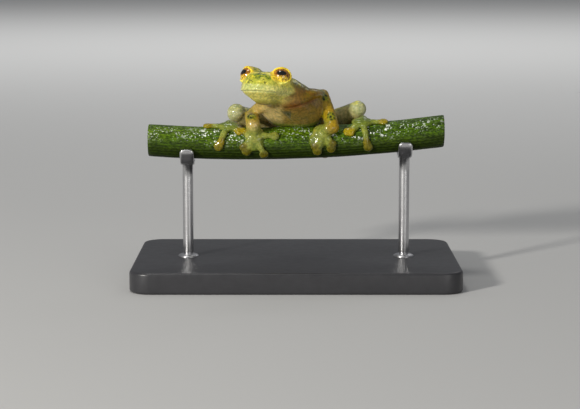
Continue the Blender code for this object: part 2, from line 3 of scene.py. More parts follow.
import bmesh
import bpy
import numpy as np
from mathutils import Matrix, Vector


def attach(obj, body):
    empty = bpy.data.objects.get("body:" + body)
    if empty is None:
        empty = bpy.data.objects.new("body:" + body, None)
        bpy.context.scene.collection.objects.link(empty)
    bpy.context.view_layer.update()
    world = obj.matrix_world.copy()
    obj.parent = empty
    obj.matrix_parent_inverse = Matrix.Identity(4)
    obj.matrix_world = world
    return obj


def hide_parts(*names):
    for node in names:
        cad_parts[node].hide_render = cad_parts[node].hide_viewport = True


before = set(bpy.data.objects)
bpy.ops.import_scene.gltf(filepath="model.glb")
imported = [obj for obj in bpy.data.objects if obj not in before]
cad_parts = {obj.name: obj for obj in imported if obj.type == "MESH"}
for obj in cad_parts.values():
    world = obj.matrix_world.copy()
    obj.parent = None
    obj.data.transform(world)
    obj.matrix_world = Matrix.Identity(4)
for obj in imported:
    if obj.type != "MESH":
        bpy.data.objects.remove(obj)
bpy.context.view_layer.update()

bl_info = {
    "name": "Glass frog on a stem",
    "version": (1, 0, 0),
    "blender": (4, 5, 0),
    "location": "3D View > Sidebar > Glass Frog",
    "description": "Dresses the solids of a life-size glass frog model with skin, eyes, a ribbed stem and a stand",
    "category": "Object",
}

# The frame: millimetres about the middle of the stem, and where that middle is in the row
MM = 0.001
STEM_HEIGHT = 19.4
STEM_SETBACK = -0.6

# Stem
STEM_RADIUS = 2.28
STEM_LENGTH = 42.0
STEM_SLOPE = 0.032
STEM_BEND = 0.0023
# Places along the stem where the painted glints of wet film near the feet gather most
WET_GLINT_PLACES = (-11.9, -10.4, -8.3, 7.0, 9.2, 13.0)

# Stand
BASE_SIZE = (46.0, 30.0, 3.0)
BASE_CORNER = 3.0
ROD_RADIUS = 0.75
ROD_REACH = 15.5
CRADLE_WIDTH = 2.0
CRADLE_THICKNESS = 0.7
CRADLE_SPAN = 75.0
STAND_GAP = 0.3

# Trunk from rump to neck: place, half width, height over and under the axis
BODY_STATIONS = np.array((
    (1.62, 10.35, -1.05, 0.75, 0.75, 0.65),
    (1.5, 9.8, -0.5, 1.6, 1.45, 1.35),
    (1.2, 8.2, 0.8, 2.45, 2.05, 1.95),
    (0.7, 5.6, 2.5, 3.15, 2.4, 2.5),
    (0.15, 2.9, 4.05, 3.95, 2.65, 2.9),
    (-0.5, 0.4, 5.3, 4.5, 2.8, 3.05),
    (-1.0, -1.5, 6.35, 4.0, 2.6, 2.9),
    (-1.7, -2.9, 7.15, 3.45, 2.55, 2.6),
    (-2.5, -4.0, 7.9, 2.8, 2.2, 2.3),
    (-3.4, -4.9, 8.5, 2.3, 1.5, 1.9),
))
BODY_UNDER_SQUARENESS = 2.7
BODY_OVER_SQUARENESS = 1.8

# Head, from the point between the eyes: level, reach forward, reach back, half width
HEAD_CENTRE = np.array((-4.3, -5.4, 9.95))
HEAD_YAW = 26.0
HEAD_PITCH = 7.0
LIP_LEVEL = -2.3
JAW_CORNER = -1.9
HEAD_LEVELS = np.array((
    (0.5, 0.6, 2.0, 1.1),
    (0.36, 1.5, 2.8, 1.9),
    (0.0, 2.3, 3.2, 2.5),
    (-0.6, 2.95, 3.4, 2.8),
    (-1.2, 3.35, 3.45, 2.98),
    (-1.8, 3.53, 3.45, 3.1),
    (-2.3, 3.48, 3.4, 3.08),
    (-2.85, 2.65, 3.3, 2.42),
    (-3.35, 1.75, 3.2, 1.8),
    (-3.8, 0.9, 3.0, 1.2),
    (-4.05, 0.25, 2.4, 0.75),
))
HEAD_SQUARENESS = 2.15
NOSTRIL = (3.35, 0.75, -1.2)

# Eyes and lids
EYE_SPREAD = 2.46
EYE_LEVEL = -0.14
EYE_RADIUS = 1.35
EYE_SINK = 0.1
EYE_TURN = 30.0
EYE_LIFT = 14.0
LID_OPENING = (68.0, 47.0)
LID_PATH_RADIUS = 1.4
LID_THICKNESS = 0.17
LID_OVAL = (1.56, 1.32)
BROW_RADIUS = 1.48
BROW_SINK = 0.75

# Limbs: the joints in order, in millimetres
ARMS = {
    1: ((1.0, -1.6, 6.3), (3.85, 1.0, 6.75), (5.2, -2.4, 2.4)),
    -1: ((-4.0, -1.7, 5.9), (-6.5, 1.6, 3.9), (-6.2, -2.1, 3.3)),
}
LEGS = {
    1: ((2.4, 8.2, 1.0), (8.93, 2.5, 4.6), (4.3, 8.4, -2.5), (8.1, 4.0, -1.0)),
    -1: ((-0.2, 8.5, 0.9), (-8.6, 3.1, 3.95), (-2.1, 8.6, -2.6), (-7.2, 4.2, -1.4)),
}
# Hands and feet on the stem: place along it, angle from its top towards the viewer, and size of disc
HANDS = {
    1: ((3.8, 52.0), ((2.7, 101.0, 0.85), (3.0, 117.0, 1.0), (4.95, 109.0, 1.0), (5.2, 93.0, 0.8))),
    -1: ((-5.9, 55.0), ((-3.05, 60.0, 1.0), (-4.55, 122.0, 1.0), (-7.05, 111.0, 1.0), (-7.5, 96.0, 0.8))),
}
# The first finger of the right hand is pale at its tip
PALE_TIP = HANDS[-1][1][0]
PALE_TIP_GOLD = 0.2
PALM_RADII = {1: (1.45, 1.25, 0.55), -1: (1.45, 1.3, 0.52)}
# The webbed lower part of each palm: its place on the stem, and half its width
PALM_WEBS = {1: (3.1, 80.0, 1.3), -1: (-5.9, 82.0, 1.4)}
FEET = {
    1: ((9.4, 15.0), ((7.3, 56.0, 0.95), (7.75, 62.0, 0.72), (10.0, 97.0, 0.8), (10.2, 112.0, 1.0),
                      (12.45, 21.0, 1.0)),
        ((8.7, -78.0), (9.3, -45.0), (9.6, -12.0))),
    -1: ((-9.6, 14.0), ((-7.55, 39.0, 0.9), (-8.1, 46.0, 0.72), (-10.65, 82.0, 0.8), (-11.0, 95.0, 1.0),
                        (-12.6, 8.0, 1.0)),
         ((-8.2, -80.0), (-9.2, -48.0), (-9.6, -14.0))),
}
SOLE_RADII = (1.55, 1.3, 0.58)
# The green patch behind the right eye's lid
EYE_CAP = np.array((-5.7, -4.9, 10.75))
DIGIT_RADIUS = 0.47
DIGIT_TIP_RADIUS = 0.36
DIGIT_LIFT = 0.24
DISC_RADII = (0.7, 0.7, 0.34)
WEB_RADIUS = 0.24
HAND_WEB_REACH = 0.78
FOOT_WEB_REACH = 0.5
WEB_STRANDS = 8
CREASE_ROUNDS = 30
# Folds of skin from the chest to each upper arm, the radii of each forearm, and the knees
CHEST_FOLDS = {
    1: ((-0.4, -4.3, 6.5), (1.9, -3.05, 7.1)),
    -1: ((-3.4, -2.7, 5.7), (-4.9, -0.7, 5.1)),
}
ARM_FOLD = (
    (-1.4, -5.2, 5.35), (-0.72, -5.27, 5.45), (-0.02, -5.3, 5.62), (0.68, -5.09, 5.87), (1.38, -4.65, 6.1),
    (2.08, -3.91, 6.32), (2.66, -3.12, 6.49), (3.15, -2.2, 6.6),
)
FOREARM_RADII = {1: (0.84, 0.97, 0.92), -1: (0.84, 0.98, 1.05)}
WRIST_RADII = {1: (0.9, 0.9, 0.7), -1: (1.02, 1.05, 0.75)}
KNEE_RADII = {1: 1.2, -1: 1.36}
# Faint folds on the belly, and the middles and spreads of the throat's and chest's colours
BELLY_FOLDS = (
    ((-2.1, -4.4, 5.05), (-1.7, -3.9, 4.6), (-1.1, -3.2, 3.95), (-0.6, -2.25, 3.3)),
    ((-1.0, -4.0, 4.7), (-1.0, -3.7, 4.3), (-0.8, -3.2, 3.85)),
)
THROAT = np.array((-3.0, -6.3, 6.5))
THROAT_SPREAD = np.array((1.7, 1.5, 0.7))
CHEST = np.array((-0.7, -5.3, 5.9))
CHEST_SPREAD = np.array((1.7, 1.8, 0.65))
BREAST = np.array((1.2, -3.8, 7.0))
BREAST_SPREAD = np.array((2.2, 2.4, 1.3))
# Grey mark on the belly: a triangle in x and z, with one pale edge along the first fold
MARK_CORNERS = ((-2.25, 4.9), (-0.65, 4.9), (-0.76, 3.5))
# Clusters of dark green dots on the arms
ARM_SPOTS = {
    1: ((4.06, -0.52, 6.62), (4.99, -2.34, 4.03)),
    -1: ((-6.28, -2.69, 4.14), (-6.6, 1.4, 4.7)),
}
# Pupil: half width and half height, and how far it lies over the middle of the eye
PUPIL_SIZE = (0.66, 0.35)
PUPIL_RISE = 0.22
# Studio: lights as name, place and aim in metres, width in metres, power in watts and tint
LIGHTS = (
    ("key", (-0.27, -0.31, 0.14), (0.0, 0.0, 0.024), 0.045, 1.7, (1.0, 0.97, 0.92)),
    ("fill", (0.2, -0.34, 0.05), (0.0, 0.0, 0.024), 0.2, 0.3, (1.0, 0.98, 0.95)),
    ("top", (-0.08, -0.06, 0.38), (0.0, 0.0, 0.024), 0.08, 0.22, (1.0, 0.99, 0.96)),
    ("rim", (0.12, 0.24, 0.2), (0.0, 0.0, 0.024), 0.1, 0.03, (1.0, 1.0, 1.0)),
    ("backdrop", (0.0, 0.5, 0.8), (0.0, 1.6, 0.0), 0.5, 8.0, (1.0, 1.0, 1.0)),
)
WORLD_STRENGTH = 0.2
FLOOR_RADIUS = 3.0
CAMERA_AIM = (-0.86, 0.0, -8.93)
CAMERA_LENS = 108.0
CAMERA_SENSOR = 36.0
FLESH_NODES = ["head", "torso"] + [
    f"{part}_{side}"
    for part in ("upper_arm", "forearm", "hand", "thigh", "shank", "tarsus", "foot")
    for side in ("left", "right")
]


# Whole-array helpers

def unit(vectors):
    """Each row divided by its length."""
    return vectors / np.linalg.norm(vectors, axis=-1, keepdims=True)


def ease(low, high, values):
    """0 below low, 1 above high, and 3t squared less 2t cubed between them."""
    t = np.clip((values - low) / (high - low), 0.0, 1.0)
    return t * t * (3.0 - 2.0 * t)


def hump(values, width):
    """A bell: e to the minus square of value over width."""
    return np.exp(-(values / width) ** 2)


def spline(rows, count):
    """Rows on a Catmull-Rom curve: each span is a cubic of the four rows nearest to it."""
    rows = np.asarray(rows, dtype=float)
    rows = np.vstack((2.0 * rows[0] - rows[1], rows, 2.0 * rows[-1] - rows[-2]))
    place = np.linspace(0.0, len(rows) - 3.0, count)
    index = np.minimum(place.astype(int), len(rows) - 4)
    t = (place - index)[:, None]
    before, start, end, after = (rows[index + shift] for shift in range(4))
    return 0.5 * (2.0 * start + (end - before) * t
                  + (2.0 * before - 5.0 * start + 4.0 * end - after) * t ** 2
                  + (3.0 * start - before - 3.0 * end + after) * t ** 3)


def signed_power(values, power):
    """The size of a value raised to a power, with its sign kept."""
    return np.sign(values) * np.abs(values) ** power


def ripple(points, size, seed, waves=28):
    """Uneven relief: a sum of sine waves in seeded directions, of wavelength near size."""
    draw = np.random.default_rng(seed)
    ways = unit(draw.normal(size=(waves, 3)))
    pitch = 2.0 * np.pi / (size * draw.uniform(0.7, 1.6, waves))
    phase = draw.uniform(0.0, 2.0 * np.pi, waves)
    return np.sin((points @ ways.T) * pitch + phase).sum(axis=1) / math.sqrt(waves)


def stem_axis(x):
    """The stem's centre line: the height is slope times x plus bend times x squared."""
    x = np.asarray(x, dtype=float)
    return np.stack((x, np.zeros_like(x), STEM_SLOPE * x + STEM_BEND * x * x), axis=-1)


def on_stem(x, angle, lift):
    """Points over the stem: its axis plus (radius + lift) times the outward way at that angle."""
    turn = np.radians(np.asarray(angle, dtype=float))
    out = np.stack((np.zeros_like(turn), -np.sin(turn), np.cos(turn)), axis=-1)
    return stem_axis(x) + out * (STEM_RADIUS + lift)


def stem_axes_at(angle):
    """Along the stem, down its side and out of it, at an angle round it in degrees."""
    turn = math.radians(angle)
    return ((1.0, 0.0, 0.0), (0.0, math.cos(turn), math.sin(turn)), (0.0, -math.sin(turn), math.cos(turn)))


def head_axes():
    """The head's forward, left and upward unit vectors, from its yaw and pitch."""
    yaw, pitch = math.radians(HEAD_YAW), math.radians(HEAD_PITCH)
    forward = np.array((-math.sin(yaw) * math.cos(pitch), -math.cos(yaw) * math.cos(pitch), math.sin(pitch)))
    left = np.array((math.cos(yaw), -math.sin(yaw), 0.0))
    return forward, left, np.cross(left, forward) * -1.0


def head_point(reach, across, level):
    """A point given in the head's own axes."""
    forward, left, up = head_axes()
    return HEAD_CENTRE + forward * reach + left * across + up * level


def head_places(points):
    """Reach forward, reach to the left and level of each point in the head's own axes."""
    forward, left, up = head_axes()
    offset = points - HEAD_CENTRE
    return offset @ forward, offset @ left, offset @ up


def eye_axes(side):
    """Centre of an eye, the way it looks, its sideways axis and its upward axis."""
    forward, left, up = head_axes()
    turn, lift = math.radians(EYE_TURN), math.radians(EYE_LIFT)
    level = forward * math.cos(turn) + left * (side * math.sin(turn))
    look = level * math.cos(lift) + up * math.sin(lift)
    across = unit(np.cross(up, look))
    return head_point(0.0, side * EYE_SPREAD, EYE_LEVEL), look, across, np.cross(look, across)


# Closed shells: vertices, quads and triangles as whole arrays

def closed_grid(points, cyclic=False):
    """A grid of rings as a closed shell: quads between the rings, and a fan to a pole at each end.

    A cyclic grid joins its last ring to its first and has no poles.
    """
    rows, columns = points.shape[:2]
    vertices = points.reshape(-1, 3)
    first_row = np.arange(rows if cyclic else rows - 1)[:, None]
    column = np.arange(columns)[None, :]
    after = (column + 1) % columns
    next_row = (first_row + 1) % rows
    quads = np.stack((first_row * columns + column, first_row * columns + after,
                      next_row * columns + after, next_row * columns + column), axis=-1).reshape(-1, 4)
    if cyclic:
        return vertices, quads, np.zeros((0, 3), dtype=int)
    poles = np.stack((points[0].mean(axis=0), points[-1].mean(axis=0)))
    start, end = rows * columns, rows * columns + 1
    side = column[0]
    turn = after[0]
    last = (rows - 1) * columns
    low = np.stack((turn, side, np.full(columns, start)), axis=-1)
    high = np.stack((last + side, last + turn, np.full(columns, end)), axis=-1)
    return np.vstack((vertices, poles)), quads, np.vstack((low, high))


def join_shells(shells):
    """Several shells as one list of vertices, quads and triangles."""
    offset = 0
    vertices, quads, triangles = [], [], []
    for points, fours, threes in shells:
        vertices.append(points)
        quads.append(fours + offset)
        triangles.append(threes + offset)
        offset += len(points)
    return np.vstack(vertices), np.vstack(quads), np.vstack(triangles)


def path_axes(path, up):
    """Along a path: the sideways axis is up cross tangent, and the rise is tangent cross sideways."""
    tangent = unit(np.gradient(path, axis=0))
    left = unit(np.cross(np.asarray(up, dtype=float), tangent))
    return left, np.cross(tangent, left)


def sweep(path, widths, depths=None, up=(0.0, 0.0, 1.0), sides=20):
    """An oval carried along a path: path + sideways * width * cosine + rise * depth * sine.

    Each end is rounded: further rings step out by the end's width times the sine of 25, 50 and 72
    degrees and shrink by the cosine.
    """
    path = np.asarray(path, dtype=float)
    widths = np.broadcast_to(np.asarray(widths, dtype=float), len(path))
    depths = widths if depths is None else np.broadcast_to(np.asarray(depths, dtype=float), len(path))
    left, rise = path_axes(path, up)
    turn = np.radians((25.0, 50.0, 72.0))
    tangent = unit(np.stack((path[0] - path[1], path[-1] - path[-2])))
    caps = []
    for end, order in ((0, slice(None, None, -1)), (-1, slice(None))):
        size = min(widths[end], depths[end])
        places = path[end] + tangent[end][None] * (np.sin(turn) * size)[:, None]
        caps.append((places[order], (np.cos(turn) * widths[end])[order], (np.cos(turn) * depths[end])[order]))
    path = np.vstack((caps[0][0], path, caps[1][0]))
    widths = np.concatenate((caps[0][1], widths, caps[1][1]))
    depths = np.concatenate((caps[0][2], depths, caps[1][2]))
    left = np.vstack((np.repeat(left[:1], 3, axis=0), left, np.repeat(left[-1:], 3, axis=0)))
    rise = np.vstack((np.repeat(rise[:1], 3, axis=0), rise, np.repeat(rise[-1:], 3, axis=0)))
    angle = np.linspace(0.0, 2.0 * np.pi, sides, endpoint=False)
    grid = (path[:, None]
            + left[:, None] * (widths[:, None] * np.cos(angle))[..., None]
            + rise[:, None] * (depths[:, None] * np.sin(angle))[..., None])
    return closed_grid(grid)


def ball(centre, radii, axes=np.eye(3), rings=18, sides=28):
    """An ellipsoid: centre + the axes times radii times (sine cosine, sine sine, cosine)."""
    polar = np.linspace(0.0, np.pi, rings + 2)[1:-1]
    angle = np.linspace(0.0, 2.0 * np.pi, sides, endpoint=False)
    local = np.stack((np.sin(polar)[:, None] * np.cos(angle),
                      np.sin(polar)[:, None] * np.sin(angle),
                      np.repeat(np.cos(polar)[:, None], sides, axis=1)), axis=-1)
    grid = (local * np.broadcast_to(radii, 3)) @ np.asarray(axes) + np.asarray(centre)
    return closed_grid(grid[::-1])


def limb(points, radii, count=24, up=(0.0, 0.0, 1.0), flat=1.0):
    """A limb: an oval on a Catmull-Rom path, whose radii follow a curve through the given ones."""
    path = spline(points, count)
    sizes = spline(np.asarray(radii, dtype=float)[:, None], count)[:, 0]
    return sweep(path, sizes, sizes * flat, up)


# The frog's flesh as shells that one remesh joins

def trunk_shell():
    """The trunk: ovals on its axis, squarer under it than over it.

    Across is the signed power of the cosine times the half width, and the rise is the signed power
    of the sine times the height over or under the axis.
    """
    rows = spline(BODY_STATIONS, 72)
    left, rise = path_axes(rows[:, :3], (0.0, 0.0, 1.0))
    angle = np.linspace(0.0, 2.0 * np.pi, 64, endpoint=False)
    over = np.sin(angle) > 0.0
    power = 2.0 / np.where(over, BODY_OVER_SQUARENESS, BODY_UNDER_SQUARENESS)
    across = signed_power(np.cos(angle), power) * rows[:, 3:4]
    height = signed_power(np.sin(angle), power) * np.where(over, rows[:, 4:5], rows[:, 5:6])
    return closed_grid(rows[:, None, :3] + left[:, None] * across[..., None] + rise[:, None] * height[..., None])


def head_outline(level):
    """Reach forward, reach back and half width of the head at each level."""
    order = np.argsort(HEAD_LEVELS[:, 0])
    table = HEAD_LEVELS[order]
    return [np.interp(level, table[:, 0], table[:, column]) for column in (1, 2, 3)]


def head_fullness(points):
    """How far out each point is in its level of the head: 1 on the outline, 0 on the axis."""
    reach, across, level = head_places(points)
    front, back, half = head_outline(level)
    along = np.abs(reach) / np.where(reach > 0.0, front, back)
    return (along ** HEAD_SQUARENESS + np.abs(across / half) ** HEAD_SQUARENESS) ** (1.0 / HEAD_SQUARENESS)


def head_shell():
    """The head: a stack of levels, each an outline whose powers are 2 over the squareness."""
    rows = spline(HEAD_LEVELS, 60)[::-1]
    angle = np.linspace(0.0, 2.0 * np.pi, 88, endpoint=False)
    power = 2.0 / HEAD_SQUARENESS
    reach = signed_power(np.cos(angle), power) * np.where(np.cos(angle) > 0.0, rows[:, 1:2], rows[:, 2:3])
    across = signed_power(np.sin(angle), power) * rows[:, 3:4]
    forward, left, up = head_axes()
    return closed_grid(HEAD_CENTRE + forward * reach[..., None] + left * across[..., None]
                       + up * rows[:, 0][:, None, None])


def lid_ways(side, spread, count=72):
    """Unit ways from the eye's centre to its opening, and across it, for angles round the eye.

    The opening's polar angle is one over the root of (cosine / wide) squared plus (sine / tall)
    squared, and spread degrees are added to it.
    """
    centre, look, across, rise = eye_axes(side)
    angle = np.linspace(0.0, 2.0 * np.pi, count, endpoint=False)
    wide, tall = np.radians(LID_OPENING)
    polar = 1.0 / np.sqrt((np.cos(angle) / wide) ** 2 + (np.sin(angle) / tall) ** 2) + math.radians(spread)
    around = across * np.cos(angle)[:, None] + rise * np.sin(angle)[:, None]
    cosine, sine = np.cos(polar)[:, None], np.sin(polar)[:, None]
    return centre - look * EYE_SINK, look * cosine + around * sine, around * cosine - look * sine


def lid_shell(side, spread, length, thickness, radius):
    """A band of lid skin: an oval, length by thickness, carried round the eye at a radius."""
    centre, way, slope = lid_ways(side, spread)
    turn = np.linspace(0.0, 2.0 * np.pi, 16, endpoint=False)
    grid = (centre + way[:, None] * (radius + thickness * np.cos(turn))[:, None]
            + slope[:, None] * (length * np.sin(turn))[:, None])
    return closed_grid(grid, cyclic=True)


def digit_places(root, tip, count):
    """Places along a digit, evenly from root to tip, as place along the stem and angle round it."""
    t = np.linspace(0.0, 1.0, count)
    return root[0] + (tip[0] - root[0]) * t, root[1] + (tip[1] - root[1]) * t


def digit_shells(root, tip):
    """A finger or toe that lies on the stem, swollen a little at its joints, with a disc at the tip."""
    x, angle = digit_places(root, tip, 22)
    t = np.linspace(0.0, 1.0, 22)
    size = DIGIT_RADIUS + (DIGIT_TIP_RADIUS - DIGIT_RADIUS) * t + 0.035 * hump(t - 0.5, 0.09)
    out = unit(on_stem(x, angle, 1.0) - stem_axis(x))
    stalk = sweep(on_stem(x, angle, DIGIT_LIFT), size, size * 0.92, up=out.mean(axis=0), sides=14)
    place = on_stem(tip[0], tip[1], DISC_RADII[2] * 0.62)
    disc = ball(place, np.array(DISC_RADII) * tip[2], stem_axes_at(tip[1]), 12, 22)
    return [stalk, disc]


def web_shells(root, first_tip, second_tip, web_reach):
    """The skin between two digits: strands from the root that stop along a drawn-in edge."""
    shells = []
    for t in np.linspace(0.0, 1.0, WEB_STRANDS + 2)[1:-1]:
        reach = web_reach * (1.0 - 0.4 * math.sin(math.pi * t))
        goal = [first + (second - first) * t for first, second in zip(first_tip, second_tip)]
        edge = [start + (end - start) * reach for start, end in zip(root, goal)]
        x, angle = digit_places(root, edge, 9)
        shells.append(sweep(on_stem(x, angle, 0.14), WEB_RADIUS, WEB_RADIUS * 0.72,
                            up=(0.0, -math.sin(math.radians(edge[1])), math.cos(math.radians(edge[1]))), sides=8))
    return shells


def pad_shells(root, tips, radii, lift, web_reach):
    """A palm or sole on the stem with its digits and webs."""
    shells = [ball(on_stem(root[0], root[1], lift), radii, stem_axes_at(root[1]))]
    for tip in tips:
        shells.extend(digit_shells(root, tip))
    for first_tip, second_tip in zip(tips, tips[1:]):
        shells.extend(web_shells(root, first_tip, second_tip, web_reach))
    return shells


def arm_shells(side):
    """Upper arm with its fold of chest skin, elbow, forearm, wrist and hand."""
    shoulder, elbow, wrist = (np.array(joint) for joint in ARMS[side])
    root, tips = HANDS[side]
    palm = on_stem(root[0], root[1], 0.45)
    chest = np.array(CHEST_FOLDS[side])
    x, angle, width = PALM_WEBS[side]
    return [
        limb((shoulder, elbow), (1.05, 0.78)),
        limb((chest[0], chest[1], elbow), (0.8, 0.85, 0.72)),
        ball(elbow, 0.84),
        limb((elbow, (elbow + wrist) / 2.0, wrist), FOREARM_RADII[side]),
        limb((wrist, (wrist * 0.55 + palm * 0.45) + np.array((0.0, -0.25, 0.1)), palm), WRIST_RADII[side]),
        *pad_shells(root, tips, PALM_RADII[side], 0.3, HAND_WEB_REACH),
        ball(on_stem(x, angle, -0.14), (width, 1.2, 0.62), stem_axes_at(angle)),
    ]


def leg_shells(side):
    """Thigh and calf folded together, knee, heel, tarsus, instep and foot."""
    hip, knee, heel, ankle = (np.array(joint) for joint in LEGS[side])
    root, tips, route = FEET[side]
    over = [on_stem(x, angle, 0.45) for x, angle in route]
    return [
        limb((hip, (hip + knee) / 2.0, knee), (1.5, 1.45, 1.18)),
        ball(knee, KNEE_RADII[side]),
        limb((knee, knee * 0.6 + heel * 0.4, heel), (1.2, 1.15, 0.66)),
        ball(heel, 0.7),
        limb((heel, ankle), (0.66, 0.58)),
        limb((ankle, *over, on_stem(root[0], root[1], 0.4)), (0.58, 0.56, 0.58, 0.64, 0.62), up=(1.0, 0.0, 0.0)),
        *pad_shells(root, tips, SOLE_RADII, 0.28, FOOT_WEB_REACH),
    ]


def brow_shells(side):
    """The swelling that carries an eye, and the two bands of its lids."""
    centre, look, across, rise = eye_axes(side)
    return [
        ball(centre - look * BROW_SINK, BROW_RADIUS),
        lid_shell(side, 3.0, LID_THICKNESS, LID_THICKNESS, LID_PATH_RADIUS),
        lid_shell(side, 18.0, 0.52, 0.15, LID_PATH_RADIUS - 0.13),
    ]


# Meshes and their arrays

def new_object(name, mesh):
    """Put a mesh into the scene."""
    item = bpy.data.objects.new(name, mesh)
    bpy.context.scene.collection.objects.link(item)
    return item


def mesh_from(name, shell):
    """A mesh from arrays, with its faces turned outward."""
    vertices, quads, triangles = shell
    mesh = bpy.data.meshes.new(name)
    mesh.from_pydata(vertices.tolist(), [], quads.tolist() + triangles.tolist())
    builder = bmesh.new()
    builder.from_mesh(mesh)
    bmesh.ops.recalc_face_normals(builder, faces=builder.faces)
    builder.to_mesh(mesh)
    builder.free()
    mesh.polygons.foreach_set("use_smooth", np.ones(len(mesh.polygons), dtype=bool))
    return mesh


def read_points(mesh):
    """The places of a mesh's vertices, one row each."""
    values = np.empty(len(mesh.vertices) * 3, dtype=np.float32)
    mesh.vertices.foreach_get("co", values)
    return values.reshape(-1, 3).astype(float)


def write_points(mesh, points):
    """Set the places of a mesh's vertices."""
    mesh.vertices.foreach_set("co", points.astype(np.float32).ravel())
    mesh.update()


def read_normals(mesh):
    """The outward normal at each vertex."""
    values = np.empty(len(mesh.vertices) * 3, dtype=np.float32)
    mesh.vertex_normals.foreach_get("vector", values)
    return values.reshape(-1, 3).astype(float)


def read_edges(mesh):
    """The two vertices of each edge, one row each."""
    values = np.empty(len(mesh.edges) * 2, dtype=np.int32)
    mesh.edges.foreach_get("vertices", values)
    return values.reshape(-1, 2)


def neighbour_mean(points, edges, share):
    """For each vertex, the mean of the vertices that share an edge with it."""
    count = len(points)
    columns = [np.bincount(edges[:, 0], points[edges[:, 1], axis], count)
               + np.bincount(edges[:, 1], points[edges[:, 0], axis], count) for axis in range(3)]
    return np.stack(columns, axis=1) / share[:, None]


def even_out(mesh, rounds):
    """Smooth without shrinking: in turn 0.5 of the way to the neighbours' mean and 0.53 back."""
    points, edges = read_points(mesh), read_edges(mesh)
    share = np.bincount(edges.ravel(), minlength=len(points))
    for _ in range(rounds):
        for step in (0.5, -0.53):
            points += (neighbour_mean(points, edges, share) - points) * step
    write_points(mesh, points)


def fill_creases(mesh, rounds):
    """Round the hollows: a vertex moves up to half way to its neighbours' mean where that lies outward.

    Toes and fingers, which lie low on the stem, move a sixth as far, so that they stay apart.
    """
    edges = read_edges(mesh)
    points = read_points(mesh)
    share = np.bincount(edges.ravel(), minlength=len(points))
    height = np.linalg.norm((points - stem_axis(points[:, 0]))[:, 1:], axis=1) - STEM_RADIUS
    pull = 0.08 + 0.42 * ease(0.7, 1.5, height)[:, None]
    for _ in range(rounds):
        move = neighbour_mean(points, edges, share) - points
        outward = (move * read_normals(mesh)).sum(axis=1, keepdims=True) > 0.0
        points += move * np.where(outward, pull, 0.0)
        write_points(mesh, points)


def remeshed(name, shells, voxel):
    """One closed mesh round all the shells, made of voxels of the given size in millimetres."""
    item = new_object(name, mesh_from(name, join_shells(shells)))
    blocks = item.modifiers.new("join", "REMESH")
    blocks.mode = "VOXEL"
    blocks.voxel_size = voxel
    depsgraph = bpy.context.evaluated_depsgraph_get()
    mesh = bpy.data.meshes.new_from_object(item.evaluated_get(depsgraph))
    item.modifiers.clear()
    item.data = mesh
    return item


def refine(mesh, chosen):
    """Cut each face whose vertices are all chosen into four."""
    builder = bmesh.new()
    builder.from_mesh(mesh)
    builder.verts.ensure_lookup_table()
    edges = read_edges(mesh)
    inside = np.flatnonzero(chosen[edges].all(axis=1))
    builder.edges.ensure_lookup_table()
    bmesh.ops.subdivide_edges(builder, edges=[builder.edges[index] for index in inside], cuts=1, use_grid_fill=True)
    builder.to_mesh(mesh)
    builder.free()


def to_frame(points):
    """Millimetres about the stem's middle to metres in the frame."""
    return (points + np.array((0.0, STEM_SETBACK, STEM_HEIGHT))) * MM


def set_number(mesh, name, values):
    """Keep one number for each vertex, for a material to read."""
    layer = mesh.attributes.new(name, "FLOAT", "POINT")
    layer.data.foreach_set("value", values.astype(np.float32))


def set_mask(mesh, name, values):
    """Keep one number from 0 to 1 for each vertex."""
    set_number(mesh, name, np.clip(values, 0.0, 1.0))


# Relief and zones of the skin

def path_distance(points, path):
    """The least distance from each point to a line of straight spans."""
    path = np.asarray(path, dtype=float)
    least = np.full(len(points), np.inf)
    for start, end in zip(path, path[1:]):
        along = end - start
        t = np.clip(((points - start) @ along) / (along @ along), 0.0, 1.0)
        least = np.minimum(least, np.linalg.norm(points - start - t[:, None] * along, axis=1))
    return least


def clear_of_stem(points):
    """Push what is inside the stem out to just under its surface, away from its axis."""
    axis = stem_axis(points[:, 0])
    offset = points - axis
    offset[:, 0] = 0.0
    reach = np.linalg.norm(offset, axis=1)
    goal = STEM_RADIUS - 0.04
    inside = reach < goal
    points[inside] = axis[inside] + offset[inside] / np.maximum(reach[inside], 0.2)[:, None] * goal
    return points


def mouth_level(reach):
    """The level of the mouth line: it dips a little in front of the corner of the jaw."""
    return LIP_LEVEL - 0.06 - 0.2 * hump(reach - 0.1, 1.5) + 0.1 * ease(-1.0, -2.4, reach)


def face_relief(points, normals):
    """How far the face stands out: lips beside a mouth groove, nostrils, and a ridge to each eye."""
    reach, across, level = head_places(points)
    shell = ease(0.8, 0.93, head_fullness(points)) * ease(-3.3, -2.6, reach)
    drop = level - mouth_level(reach)
    line = shell * ease(JAW_CORNER - 0.5, JAW_CORNER + 0.25, reach)
    relief = line * (0.075 * hump(drop - 0.27, 0.2) + 0.015 * hump(drop + 0.26, 0.17) - 0.11 * hump(drop, 0.11))
    for side in (1, -1):
        place = head_point(NOSTRIL[0], NOSTRIL[1] * side, NOSTRIL[2])
        gap = np.linalg.norm(points - place, axis=1)
        relief += 0.025 * hump(gap - 0.24, 0.12) - 0.2 * hump(gap, 0.12)
        corner = head_point(1.35, 2.0 * side, -0.35)
        relief += 0.1 * hump(path_distance(points, (corner, place)), 0.3) * ease(-0.6, 0.2, normals[:, 2] + 0.3)
    return relief


